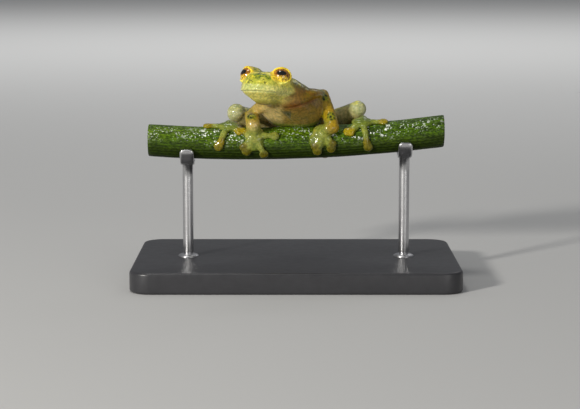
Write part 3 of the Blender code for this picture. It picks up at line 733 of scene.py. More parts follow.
def body_relief(points, normals):
    """Loose skin: ridges down the back, and folds on the belly and flank, with a raised band over the fold to the left
    arm.
    """
    rows = spline(BODY_STATIONS, 60)
    path = rows[:, :3]
    left, rise = path_axes(path, (0.0, 0.0, 1.0))
    spine = path + rise * rows[:, 4:5]
    near = path_distance(points, spine)
    along = points @ np.array((-0.16, -0.8, 0.58))
    relief = hump(near, 0.4) * (0.05 + 0.035 * np.sin(along * 5.6 + ripple(points, 3.0, 8)))
    for fold in BELLY_FOLDS:
        gap = path_distance(points, fold)
        relief += 0.03 * hump(gap - 0.28, 0.16) - 0.07 * hump(gap, 0.13)
    gap = path_distance(points, ARM_FOLD)
    over = path_distance(points, np.array(ARM_FOLD) + np.array((0.0, 0.0, 0.6)))
    outer = ease(-0.6, 1.2, points[:, 0])
    return relief + 0.2 * hump(over, 0.5) * outer - (0.07 + 0.05 * outer) * hump(gap, 0.17)


def skin_relief(points, normals):
    """Everything that the skin adds to the flesh: face, folds, and fine uneven grain."""
    relief = face_relief(points, normals) + body_relief(points, normals)
    relief += 0.02 * ripple(points, 1.5, 3) + 0.009 * ripple(points, 0.5, 5)
    lids = sum(lid_nearness(points, side) for side in (1, -1))
    return relief * (1.0 - 0.8 * np.clip(lids, 0.0, 1.0))


def lid_nearness(points, side):
    """1 on the rim of an eye's opening, and 0 away from it."""
    centre, way, slope = lid_ways(side, 3.0)
    ring = centre + way * LID_PATH_RADIUS
    return 1.0 - ease(LID_THICKNESS * 0.9, LID_THICKNESS * 1.9, path_distance(points, np.vstack((ring, ring[:1]))))


def lid_ring(points, side):
    """1 within the golden oval round an eye, and 0 beyond it or behind the eye."""
    centre, look, across, rise = eye_axes(side)
    offset = points - centre
    oval = np.sqrt((offset @ across / LID_OVAL[0]) ** 2 + (offset @ rise / LID_OVAL[1]) ** 2)
    return ease(1.1, 0.98, oval) * ease(-0.85, -0.55, offset @ look)


def inside_corners(points, corners):
    """1 inside a flat outline of corners in x and z, which run clockwise, and 0 outside it."""
    inside = np.ones(len(points))
    for start, end in zip(corners, corners[1:] + corners[:1]):
        along = np.array(end) - np.array(start)
        along /= np.linalg.norm(along)
        depth = (points[:, 0] - start[0]) * along[1] - (points[:, 2] - start[1]) * along[0]
        inside *= ease(-0.05, 0.12, depth)
    return inside


def limb_lines(side):
    """The middle lines of an arm and a leg, for the colours of the skin."""
    shoulder, elbow, wrist = ARMS[side]
    hip, knee, heel, ankle = LEGS[side]
    root = HANDS[side][0]
    palm = on_stem(root[0], root[1], 0.45)
    return (shoulder, elbow, wrist, palm), (hip, knee, heel, ankle)


def skin_zones(points, normals):
    """Where each colour of the skin lies, as numbers from 0 to 1 by name, some of them painted light or shade."""
    reach, across, level = head_places(points)
    count = len(points)
    head = ease(1.4, 1.05, head_fullness(points)) * ease(-3.9, -2.6, reach) * ease(-4.1, -3.1, level)
    for side in (1, -1):
        centre = eye_axes(side)[0]
        head = np.maximum(head, ease(2.1, 1.5, np.linalg.norm(points - centre, axis=1)))
    drop = level - mouth_level(reach)
    lid = sum(lid_ring(points, side) for side in (1, -1))
    zones = {
        "head": head,
        "lip": head * ease(1.25, 0.7, drop) * ease(-0.3, 0.1, drop) * ease(-3.2, -1.4, reach),
        "throat": np.maximum(head * ease(0.05, -0.1, drop), 0.85 * hump(
            np.linalg.norm((points - THROAT) / THROAT_SPREAD, axis=1), 1.0)),
        "lid": lid,
        "lid_low": lid * ease(-0.3, -1.0, level - EYE_LEVEL),
        "chest": hump(np.linalg.norm((points - CHEST) / CHEST_SPREAD, axis=1), 1.0),
        "breast": hump(np.linalg.norm((points - BREAST) / BREAST_SPREAD, axis=1), 1.0),
        "cream": ease(-1.3, -2.5, points[:, 0]) * ease(6.2, 5.2, points[:, 2]),
        # The crease from the chest to the left arm: a dark orange line, partly the skin's own colour and partly painted
        # shade in the crease
        "fold": hump(path_distance(points, ARM_FOLD), 0.19),
    }
    knee, toe, foot, disc, glow, spots = (np.zeros(count) for _ in range(6))
    digits = np.full(count, 9.0)
    over = path_distance(points, np.array(ARM_FOLD) + np.array((0.0, 0.0, 0.75)))
    limb = 0.85 * ease(1.1, 0.5, over) * ease(0.2, 1.8, points[:, 0])
    for side in (1, -1):
        arm, leg = limb_lines(side)
        limb = np.maximum(limb, ease(1.45, 0.95, path_distance(points, arm[1:])))
        limb = np.maximum(limb, 0.75 * ease(1.3, 0.8, path_distance(points, arm[:2])))
        limb = np.maximum(limb, 0.15 * ease(1.9, 1.4, path_distance(points, leg[:3])))
        offset = points - np.array(leg[1])
        under = ease(0.25, 0.9, offset @ np.array((-0.6 * side, 0.0, -0.8)))
        knee = np.maximum(knee, ease(2.1, 1.2, np.linalg.norm(offset, axis=1)) * (1.0 - 0.5 * under))
        # The thighs are painted pale with the cream: partly their own tone, partly painted light over the left thigh,
        # which lies in the arm's shade
        thigh = ease(1.7, 1.2, path_distance(points, leg[:2])) * ease(7.5, 4.0, np.linalg.norm(offset, axis=1))
        knee = np.maximum(knee, 0.45 * thigh)
        zones["cream"] = np.maximum(zones["cream"], thigh)
        for (root, tips), share in ((HANDS[side][:2], 0.0), (FEET[side][:2], 1.0)):
            pad = on_stem(root[0], root[1], 0.3)
            pad_near = ease(2.2, 0.9, np.linalg.norm(points - pad, axis=1))
            near = pad_near
            digits = np.minimum(digits, np.min([path_distance(points, on_stem(*digit_places(root, tip, 6), 0.2))
                                                for tip in tips], axis=0))
            for tip in tips:
                line = on_stem(*digit_places(root, tip, 6), 0.2)
                near = np.maximum(near, ease(0.85, 0.5, path_distance(points, line)))
                end = on_stem(tip[0], tip[1], 0.25)
                gold = PALE_TIP_GOLD if tip == PALE_TIP else 1.0
                tip_near = gold * ease(0.95, 0.45, np.linalg.norm(points - end, axis=1))
                disc = np.maximum(disc, tip_near)
                # The toe discs' brighter gold: partly their own colour, partly painted light, fading towards the toes
                # lower round the stem as if in shade
                glow = np.maximum(glow, tip_near * share * ease(112.0, 62.0, tip[1]))
            toe = np.maximum(toe, near)
            foot = np.maximum(foot, pad_near * share)
        for place in ARM_SPOTS[side]:
            spots = np.maximum(spots, ease(0.85, 0.5, np.linalg.norm(points - np.array(place), axis=1)))
    axis = stem_axis(points[:, 0])
    height = np.linalg.norm((points - axis)[:, 1:], axis=1) - STEM_RADIUS
    toe = np.maximum(toe, ease(1.2, 0.35, height) * (1.0 - head))
    web = ease(0.8, 0.5, height) * ease(0.4, 0.6, digits) * ease(1.4, 0.8, (points - axis)[:, 2])
    foot = np.maximum(foot, 0.8 * web)
    body = (1.0 - head) * (1.0 - toe)
    bare = head * ease(-1.0, -0.3, level) * ease(2.4, 1.6, np.abs(across)) * (1.0 - lid)
    zones.update({
        # Painted highlight: a pale yellow line over the top of the head between the eyes
        "brow": bare * hump(reach - 1.45, 0.4),
        "cap": hump(np.linalg.norm(points - EYE_CAP, axis=1), 0.5),
        "band": bare * hump(reach - 2.35, 0.35),
        # Painted shade: the tip of the snout is tinted darker green, against the broad sheen that the key light lays on
        # it
        "snout_shade": head * ease(2.8, 3.3, reach) * ease(0.0, 0.2, drop) * ease(-0.9, -1.3, level),
        # Painted light: the cheek below the left eye is painted paler, as if lit
        "lit_cheek": head * hump(across - 3.1, 1.1) * hump(level + 1.4, 0.8) * (1.0 - lid),
        "limb": limb * (1.0 - toe),
        "knee": knee * (1.0 - toe),
        "toe": toe,
        "foot": foot,
        "disc": disc,
        "glow": glow,
        "spots": spots,
        "back": body * ease(0.25, 0.75, normals[:, 2] + 0.25 * normals[:, 1]) * (1.0 - 0.85 * limb),
        "mark": inside_corners(points, MARK_CORNERS) * ease(-1.5, -2.5, points[:, 1]),
        "edge": hump(path_distance(points, BELLY_FOLDS[0]), 0.1),
        "crown": head * ease(-1.0, -0.3, level) * ease(3.0, 1.6, np.abs(reach - 0.9)) * ease(2.4, 1.6, np.abs(across))
                 * (1.0 - lid),
    })
    return zones


def keep_largest(mesh):
    """Drop every surface but the one with the most faces, such as the walls of a sealed hollow."""
    builder = bmesh.new()
    builder.from_mesh(mesh)
    unseen = set(builder.verts)
    islands = []
    while unseen:
        start = unseen.pop()
        island, queue = {start}, [start]
        while queue:
            for edge in queue.pop().link_edges:
                for other in edge.verts:
                    if other in unseen:
                        unseen.discard(other)
                        island.add(other)
                        queue.append(other)
        islands.append(island)
    islands.sort(key=len)
    for island in islands[:-1]:
        bmesh.ops.delete(builder, geom=list(island), context="VERTS")
    builder.to_mesh(mesh)
    builder.free()


def make_skin(voxel):
    """The frog's skin: the shells of flesh joined, its creases rounded, its face refined and in relief."""
    shells = [trunk_shell(), head_shell()]
    for side in (1, -1):
        shells.extend((*brow_shells(side), *arm_shells(side), *leg_shells(side)))
    item = remeshed("frog_skin", shells, voxel)
    mesh = item.data
    keep_largest(mesh)
    even_out(mesh, 3)
    fill_creases(mesh, CREASE_ROUNDS)
    even_out(mesh, 6)
    points = clear_of_stem(read_points(mesh))
    write_points(mesh, points)
    reach, across, level = head_places(points)
    refine(mesh, (reach > -2.4) & (level > -3.3) & (head_fullness(points) > 0.6))
    even_out(mesh, 3)
    points, normals = read_points(mesh), read_normals(mesh)
    points += normals * skin_relief(points, normals)[:, None]
    write_points(mesh, points)
    for name, values in skin_zones(points, read_normals(mesh)).items():
        set_mask(mesh, name, values)
    layer = mesh.attributes.new("head_place", "FLOAT_VECTOR", "POINT")
    layer.data.foreach_set("vector", np.stack(head_places(points), axis=1).astype(np.float32).ravel())
    write_points(mesh, to_frame(points))
    mesh.polygons.foreach_set("use_smooth", np.ones(len(mesh.polygons), dtype=bool))
    return item


# Eyes, stem and stand

def make_eye(name, side):
    """An eyeball: a sphere whose radius swells by a bell of the polar angle, for the cornea.

    Each vertex keeps its place across and up the eye, in millimetres, for the iris pattern.
    """
    centre, look, across, rise = eye_axes(side)
    polar = np.linspace(0.0, np.pi, 74)[1:-1]
    angle = np.linspace(0.0, 2.0 * np.pi, 96, endpoint=False)
    radius = EYE_RADIUS * (1.0 + 0.04 * hump(polar, 0.7))[:, None]
    x = radius * np.sin(polar)[:, None] * np.cos(angle)
    y = radius * np.sin(polar)[:, None] * np.sin(angle)
    z = radius * np.repeat(np.cos(polar)[:, None], len(angle), axis=1)
    start = centre - look * EYE_SINK
    grid = start + across * x[..., None] + rise * y[..., None] + look * z[..., None]
    vertices, quads, triangles = closed_grid(grid)
    offset = vertices - start
    mesh = mesh_from(name, (to_frame(vertices), quads, triangles))
    set_number(mesh, "eye_across", offset @ across)
    set_number(mesh, "eye_up", offset @ rise)
    set_number(mesh, "eye_front", offset @ look)
    return new_object(name, mesh)


def make_stem(ribs):
    """The stem: a circle on its axis, whose radius swells and dips along each rib.

    The radius is the stem's times one plus 0.013 cosine of the rib angle, less at shallow nicks.
    Rings at each end turn in over a small edge and step to the middle of the cut.
    """
    half = STEM_LENGTH / 2.0
    x = np.linspace(-half, half, 170)
    angle = np.linspace(0.0, 2.0 * np.pi, ribs * 11, endpoint=False)
    rim = np.array((0.985, 0.955, 0.9, 0.72, 0.5, 0.3, 0.12))
    inset = np.array((-0.02, -0.05, -0.06, 0.02, 0.05, 0.04, 0.03))
    x = np.concatenate((-half + inset[::-1] * 1.0, x[1:-1], half - inset))
    size = np.concatenate((rim[::-1], np.ones(168), rim))
    cut = np.concatenate((1.0 - rim[::-1], np.zeros(168), 1.0 - rim))
    wander = 0.5 * np.sin(x * 0.21) + 0.35 * np.sin(x * 0.53 + 1.0)
    phase = angle[None, :] * ribs + wander[:, None]
    axis = stem_axis(x)
    out = np.stack((np.zeros_like(angle), -np.sin(angle), np.cos(angle)), axis=-1)
    flat = (axis[:, None] + out[None] * STEM_RADIUS).reshape(-1, 3)
    uneven = ripple(flat * np.array((0.35, 1.0, 1.0)), 1.3, 21).reshape(len(x), -1)
    rib = np.cos(phase) * (0.7 + 0.3 * np.sin(angle * 3.0 + 1.0))
    radius = STEM_RADIUS * size[:, None] * (1.0 + (0.011 * rib + 0.006 * uneven) * np.where(cut > 0.2, 0.0, 1.0)[:, None])
    grid = axis[:, None] + out[None] * radius[..., None]
    vertices, quads, triangles = closed_grid(grid)
    mesh = mesh_from("stem_length", (to_frame(vertices), quads, triangles))
    spread = (len(x), len(angle))
    ends = np.zeros(2)
    # The stem's underside, which its material paints darker as painted shade
    down = 0.5 - 0.5 * np.cos(angle)
    set_mask(mesh, "rib", np.concatenate((np.clip(0.5 + 0.5 * rib, 0.0, 1.0).ravel(), ends)))
    set_mask(mesh, "under", np.concatenate((np.broadcast_to(down, spread).ravel(), ends)))
    set_mask(mesh, "cut", np.concatenate((np.broadcast_to(cut[:, None], spread).ravel(), ends + 1.0)))
    # Painted glints: white specks over a band on the front of the stem and near the feet, standing in for light caught
    # by wet film
    band = hump(np.degrees(angle) - 47.0, 26.0) + 0.5 * hump(np.degrees(angle) - 313.0, 26.0)
    near = sum(0.9 * hump(x[:, None] - place, 1.6) * hump(np.degrees(angle) - 62.0, 20.0) for place in WET_GLINT_PLACES)
    dew_glint = 0.75 * band[None] * (0.8 + 0.2 * np.sin(x * 0.9))[:, None] + near
    set_mask(mesh, "dew_glint", np.concatenate((dew_glint.ravel(), ends)))
    return new_object("stem_length", mesh)


def make_base(edge):
    """The base plate: a rectangle with round corners, drawn in a little at its top and bottom edges."""
    length, depth, thickness = BASE_SIZE
    turn = np.linspace(0.0, np.pi / 2.0, 12)
    quarter = np.repeat(np.arange(4), len(turn))
    turn = np.tile(turn, 4) + quarter * np.pi / 2.0
    corner_x = np.array((1.0, -1.0, -1.0, 1.0))[quarter] * (length / 2.0 - BASE_CORNER)
    corner_y = np.array((1.0, 1.0, -1.0, -1.0))[quarter] * (depth / 2.0 - BASE_CORNER)
    bend = np.radians(np.linspace(0.0, 90.0, 6))
    inset = np.concatenate((edge * (1.0 - np.sin(bend)), edge * (1.0 - np.cos(bend)) ))
    height = np.concatenate((edge * (1.0 - np.cos(bend)), thickness - edge + edge * np.sin(bend)))
    reach = BASE_CORNER - inset[:, None]
    grid = np.stack((corner_x + reach * np.cos(turn), corner_y + reach * np.sin(turn),
                     np.broadcast_to(height[:, None], (len(height), len(turn)))), axis=-1)
    vertices, quads, triangles = closed_grid(grid)
    return new_object("base_plate", mesh_from("base_plate", (vertices * MM, quads, triangles)))


def make_rod(name, x):
    """A stand rod with its cradle: a round bar, joined to a rounded oblong carried round the stem."""
    seat = stem_axis(x)
    middle = STEM_RADIUS + STAND_GAP + CRADLE_THICKNESS / 2.0
    foot = np.array((x, 0.0, BASE_SIZE[2] - STEM_HEIGHT + 0.75))
    head = np.array((x, 0.0, seat[2] - middle - ROD_RADIUS * 0.3))
    bar = sweep(foot + (head - foot) * np.linspace(0.0, 1.0, 8)[:, None], ROD_RADIUS, up=(0.0, 1.0, 0.0), sides=40)
    turn = np.radians(np.linspace(180.0 - CRADLE_SPAN, 180.0 + CRADLE_SPAN, 60))
    out = np.stack((np.zeros_like(turn), -np.sin(turn), np.cos(turn)), axis=-1)
    round_way = np.linspace(0.0, 2.0 * np.pi, 32, endpoint=False)
    swell = np.sqrt(np.clip(np.sin(np.linspace(0.12, np.pi - 0.12, 60)) * 4.0, 0.0, 1.0))
    along = signed_power(np.cos(round_way), 0.5) * CRADLE_WIDTH / 2.0
    rise = signed_power(np.sin(round_way), 0.5) * CRADLE_THICKNESS / 2.0
    grid = (seat + out[:, None] * (middle + rise * swell[:, None])[..., None]
            + np.array((1.0, 0.0, 0.0)) * (along * swell[:, None])[..., None])
    collar = ball((x, 0.0, BASE_SIZE[2] - STEM_HEIGHT + 0.02), (1.5, 1.5, 0.45), rings=24, sides=40)
    item = new_object(name, mesh_from(name, (to_frame(bar[0]), *bar[1:])))
    for number, shell in enumerate((closed_grid(grid), collar)):
        other = new_object("joined", mesh_from("joined", (to_frame(shell[0]), *shell[1:])))
        union = item.modifiers.new("union", "BOOLEAN")
        union.object = other
        union.operation = "UNION"
        union.solver = "EXACT"
        depsgraph = bpy.context.evaluated_depsgraph_get()
        mesh = bpy.data.meshes.new_from_object(item.evaluated_get(depsgraph))
        item.modifiers.clear()
        item.data = mesh
        bpy.data.objects.remove(other, do_unlink=True)
    item.data.polygons.foreach_set("use_smooth", np.ones(len(item.data.polygons), dtype=bool))
    return item


# Shader nodes

def add_node(tree, kind, inputs=None, **settings):
    """A node with its settings, its inputs linked where they are sockets and set where they are values."""
    item = tree.nodes.new(kind)
    for name, value in settings.items():
        setattr(item, name, value)
    for name, value in (inputs or {}).items():
        if isinstance(value, bpy.types.NodeSocket):
            tree.links.new(value, item.inputs[name])
        else:
            item.inputs[name].default_value = value
    return item


def read_mask(tree, name):
    """One of the mesh's own numbers."""
    return add_node(tree, "ShaderNodeAttribute", attribute_name=name).outputs["Fac"]


def compute(tree, operation, first, second=0.0, third=0.0):
    """A Math node of two or three numbers."""
    return add_node(tree, "ShaderNodeMath", {0: first, 1: second, 2: third}, operation=operation).outputs[0]


def between(tree, value, low, high):
    """0 below low and 1 above high, smoothly; low may be the larger, and then it falls."""
    return add_node(tree, "ShaderNodeMapRange", {"Value": value, "From Min": low, "From Max": high},
                    interpolation_type="SMOOTHSTEP").outputs["Result"]


def blend(tree, share, under, over, kind="MIX"):
    """A Mix node of two colours."""
    return add_node(tree, "ShaderNodeMix", {0: share, 6: under, 7: over}, data_type="RGBA", blend_type=kind).outputs[2]


def object_place(tree):
    """The point's place in the object's own axes, in metres."""
    return add_node(tree, "ShaderNodeTexCoord").outputs["Object"]


def noise(tree, place, scale, detail=2.0, roughness=0.5):
    """A noise value at a place."""
    return add_node(tree, "ShaderNodeTexNoise", {"Vector": place, "Scale": scale, "Detail": detail,
                                                 "Roughness": roughness}).outputs["Fac"]


def new_group(name, numbers, output, kind):
    """An empty node group with number inputs and one output."""
    tree = bpy.data.node_groups.new(name, "ShaderNodeTree")
    for label, value in numbers.items():
        tree.interface.new_socket(label, in_out="INPUT", socket_type="NodeSocketFloat").default_value = value
    tree.interface.new_socket(output, in_out="OUTPUT", socket_type=kind)
    return tree, tree.nodes.new("NodeGroupInput"), tree.nodes.new("NodeGroupOutput")


def fleck_group():
    """Small uneven dots: near the middle of bent cells, and only where a slow noise is high."""
    tree, start, end = new_group("flecks", {"Scale": 3000.0, "Size": 0.3, "Cover": 0.5}, "Mask", "NodeSocketFloat")
    place = object_place(tree)
    bend = add_node(tree, "ShaderNodeTexNoise", {"Vector": place, "Scale": start.outputs["Scale"]}).outputs["Color"]
    shift = add_node(tree, "ShaderNodeVectorMath", {0: bend, "Scale": 0.00022}, operation="SCALE").outputs[0]
    moved = add_node(tree, "ShaderNodeVectorMath", {0: place, 1: shift}, operation="ADD").outputs[0]
    cells = add_node(tree, "ShaderNodeTexVoronoi", {"Vector": moved, "Scale": start.outputs["Scale"]})
    size = compute(tree, "MULTIPLY", start.outputs["Size"], noise(tree, place, 2100.0, 1.0))
    rim = compute(tree, "MULTIPLY", size, 2.2)
    dots = between(tree, cells.outputs["Distance"], rim, size)
    slow = compute(tree, "MULTIPLY", start.outputs["Scale"], 0.28)
    cover = between(tree, noise(tree, place, slow, 2.0), start.outputs["Cover"],
                    compute(tree, "ADD", start.outputs["Cover"], 0.1))
    tree.links.new(compute(tree, "MULTIPLY", dots, cover), end.inputs["Mask"])
    return tree


def streak_group():
    """Irregular streaks across the head: where a stretched noise is close to its middle value."""
    tree, start, end = new_group("streaks", {"Scale": 1.0, "Width": 0.03}, "Mask", "NodeSocketFloat")
    place = add_node(tree, "ShaderNodeAttribute", attribute_name="head_place").outputs["Vector"]
    place = add_node(tree, "ShaderNodeMapping", {"Vector": place, "Scale": (1.7, 0.6, 1.7)}).outputs[0]
    value = noise(tree, place, start.outputs["Scale"], 3.0, 0.6)
    gap = compute(tree, "ABSOLUTE", compute(tree, "SUBTRACT", value, 0.5))
    rim = compute(tree, "MULTIPLY", start.outputs["Width"], 2.0)
    tree.links.new(between(tree, gap, rim, start.outputs["Width"]), end.inputs["Mask"])
    return tree


def grain_group():
    """Fine skin grain as a normal: low domed cells over a soft uneven noise."""
    tree, start, end = new_group("grain", {"Scale": 4000.0, "Depth": 0.00002}, "Normal", "NodeSocketVector")
    place = object_place(tree)
    cells = add_node(tree, "ShaderNodeTexVoronoi", {"Vector": place, "Scale": start.outputs["Scale"]},
                     feature="SMOOTH_F1").outputs["Distance"]
    soft = noise(tree, place, compute(tree, "MULTIPLY", start.outputs["Scale"], 0.35), 3.0)
    height = compute(tree, "SUBTRACT", soft, compute(tree, "MULTIPLY", cells, 0.45))
    bump = add_node(tree, "ShaderNodeBump", {"Height": height, "Distance": start.outputs["Depth"], "Strength": 1.0})
    tree.links.new(bump.outputs["Normal"], end.inputs["Normal"])
    return tree


def use_group(tree, build, **numbers):
    """A shared node group, built the first time that it is used."""
    name = {fleck_group: "flecks", streak_group: "streaks", grain_group: "grain"}[build]
    group = bpy.data.node_groups.get(name) or build()
    return add_node(tree, "ShaderNodeGroup", numbers, node_tree=group).outputs[0]


def new_material(name, **settings):
    """A material with a Principled shader, its plain values set on the shader's own sockets."""
    material = bpy.data.materials.new(name)
    material.use_nodes = True
    shader = material.node_tree.nodes["Principled BSDF"]
    for label, value in settings.items():
        shader.inputs[label.replace("_", " ")].default_value = value
    return material, material.node_tree, shader


def scaled(colour, share):
    """A colour made lighter or darker, with full cover."""
    return (*(part * share for part in colour[:3]), 1.0)


# Materials

def skin_material(colours):
    """Wet skin: each zone's colour in turn, some of them painted light or shade, then dark flecks and streaks, over
    soft scattering.
    """
    material, tree, shader = new_material(
        "wet_skin", Roughness=0.4, Specular_IOR_Level=0.2, IOR=1.4, Coat_Weight=0.6, Coat_Roughness=0.1,
        Subsurface_Weight=0.3, Subsurface_Radius=(1.0, 0.75, 0.25), Subsurface_Scale=0.0005)
    place = object_place(tree)
    slow = noise(tree, place, 420.0, 3.0)
    colour = blend(tree, slow, scaled(colours.belly, 0.8), scaled(colours.belly, 1.2))
    zones = (
        ("cream", colours.cream, 0.9), ("mark", scaled(colours.knee, 0.16), 0.85), ("edge", colours.cream, 0.5),
        ("back", colours.back, 0.85),
        ("limb", colours.limb, 0.9), ("breast", colours.breast, 0.9), ("chest", colours.chest, 0.85),
        # The fold's dark orange line is partly painted shade in its crease
        ("fold", colours.chest, 0.7), ("knee", colours.knee, 0.85), ("head", colours.head, 1.0),
        ("throat", colours.throat, 0.9), ("lip", colours.lip, 0.6), ("toe", colours.toe, 0.95),
        # The toe discs' brighter gold is partly painted light
        ("foot", colours.foot, 0.9), ("disc", colours.disc, 0.9), ("glow", colours.glow, 0.9),
        ("lid", colours.lid, 0.95), ("lid_low", colours.lid_low, 0.95), ("spots", colours.green, 0.5),
        # Painted light: the pale tint of the cheek below the left eye
        # Painted shade: the darker green tint on the tip of the snout
        ("snout_shade", colours.green, 0.27), ("lit_cheek", colours.lid_low, 0.6),
    )
    for name, value, share in zones:
        amount = compute(tree, "MULTIPLY", read_mask(tree, name), share)
        colour = blend(tree, amount, colour, value)
    mottle = between(tree, noise(tree, place, 2600.0, 4.0, 0.65), 0.38, 0.62)
    shade = blend(tree, mottle, (0.7, 0.76, 0.66, 1.0), (1.2, 1.18, 1.14, 1.0))
    colour = blend(tree, 1.0, colour, shade, "MULTIPLY")
    head, back, crown = (read_mask(tree, name) for name in ("head", "back", "crown"))
    calm = compute(tree, "MAXIMUM", read_mask(tree, "lip"), read_mask(tree, "throat"))
    calm = compute(tree, "SUBTRACT", 1.0, compute(tree, "MAXIMUM", calm, read_mask(tree, "lid")))
    upper = compute(tree, "MULTIPLY", head, calm)
    patch = between(tree, noise(tree, place, 650.0, 3.0, 0.6), 0.5, 0.58)
    light = between(tree, noise(tree, place, 800.0, 2.0, 0.6), 0.56, 0.48)
    flecks = (
        (patch, upper, colours.green, 0.3),
        (light, crown, colours.yellow, 0.85),
        (light, read_mask(tree, "knee"), colours.toe, 0.25),
        (patch, read_mask(tree, "limb"), colours.green, 0.2),
        (use_group(tree, streak_group, Scale=1.0, Width=0.028), crown, scaled(colours.green, 0.7), 1.0),
        (use_group(tree, streak_group, Scale=1.3, Width=0.012), crown, colours.fleck, 0.95),
        (patch, read_mask(tree, "band"), scaled(colours.green, 0.6), 0.65),
        # Painted highlight: the pale line over the top of the head between the eyes
        (read_mask(tree, "brow"), 1.0, colours.lid_low, 0.95),
        (read_mask(tree, "cap"), 1.0, scaled(colours.green, 0.8), 0.85),
        (use_group(tree, fleck_group, Scale=2600.0, Size=0.42, Cover=0.48), upper, colours.fleck, 0.75),
        (use_group(tree, fleck_group, Scale=1100.0, Size=0.62, Cover=0.38), back, colours.yellow, 0.6),
        (use_group(tree, fleck_group, Scale=2300.0, Size=0.45, Cover=0.45), back, colours.fleck, 0.85),
        (use_group(tree, fleck_group, Scale=2500.0, Size=0.64, Cover=0.1), read_mask(tree, "spots"),
         scaled(colours.fleck, 0.4), 1.0),
        (use_group(tree, fleck_group, Scale=3000.0, Size=0.34, Cover=0.55), read_mask(tree, "limb"), colours.fleck, 0.6),
    )
    for pattern, zone, value, share in flecks:
        amount = compute(tree, "MULTIPLY", compute(tree, "MULTIPLY", pattern, zone), share)
        colour = blend(tree, amount, colour, value)
    tree.links.new(colour, shader.inputs["Base Color"])
    tree.links.new(use_group(tree, grain_group, Scale=3600.0, Depth=0.00003), shader.inputs["Normal"])
    wet = blend(tree, read_mask(tree, "toe"), use_group(tree, grain_group, Scale=900.0, Depth=0.000018),
                use_group(tree, grain_group, Scale=1600.0, Depth=0.00005))
    tree.links.new(wet, shader.inputs["Coat Normal"])
    return material


def eye_material(colours):
    """A golden iris with flecks and rays round a lying oval pupil, under a clear wet coat."""
    material, tree, shader = new_material("frog_eye", Roughness=0.22, IOR=1.38, Coat_Weight=1.0, Coat_Roughness=0.02)
    across, up, front = (read_mask(tree, name) for name in ("eye_across", "eye_up", "eye_front"))
    rise = compute(tree, "SUBTRACT", up, PUPIL_RISE)
    wide = compute(tree, "POWER", compute(tree, "ABSOLUTE", compute(tree, "DIVIDE", across, PUPIL_SIZE[0])), 2.0)
    tall = compute(tree, "POWER", compute(tree, "ABSOLUTE", compute(tree, "DIVIDE", rise, PUPIL_SIZE[1])), 2.0)
    oval = compute(tree, "SQRT", compute(tree, "ADD", wide, tall))
    reach = compute(tree, "SQRT", compute(tree, "ADD", compute(tree, "MULTIPLY", across, across),
                                          compute(tree, "MULTIPLY", up, up)))
    angle = compute(tree, "ARCTAN2", rise, across)
    place = add_node(tree, "ShaderNodeCombineXYZ", {"X": compute(tree, "MULTIPLY", compute(tree, "SINE", angle), 3.4),
                                                    "Y": compute(tree, "MULTIPLY", compute(tree, "COSINE", angle), 3.4),
                                                    "Z": reach}).outputs[0]
    rays = noise(tree, place, 1.5, 3.0, 0.62)
    grain = noise(tree, object_place(tree), 3000.0, 4.0, 0.65)
    pattern = compute(tree, "ADD", compute(tree, "MULTIPLY", rays, 0.4), compute(tree, "MULTIPLY", grain, 0.6))
    low = between(tree, up, 0.15, -0.7)
    lit = blend(tree, low, colours.iris, colours.iris_light)
    colour = blend(tree, between(tree, pattern, 0.42, 0.54), colours.iris_dark, lit)
    rim = compute(tree, "MULTIPLY", between(tree, oval, 1.6, 1.15), 0.45)
    colour = blend(tree, rim, colour, colours.iris_dark)
    edge = between(tree, reach, 1.0, 1.16)
    colour = blend(tree, compute(tree, "MULTIPLY", edge, 0.55), colour, scaled(colours.iris_dark, 0.45))
    colour = blend(tree, between(tree, oval, 1.06, 0.96), colour, (0.004, 0.003, 0.003, 1.0))
    colour = blend(tree, between(tree, front, 0.15, 0.0), colour, scaled(colours.iris_dark, 0.3))
    tree.links.new(colour, shader.inputs["Base Color"])
    return material


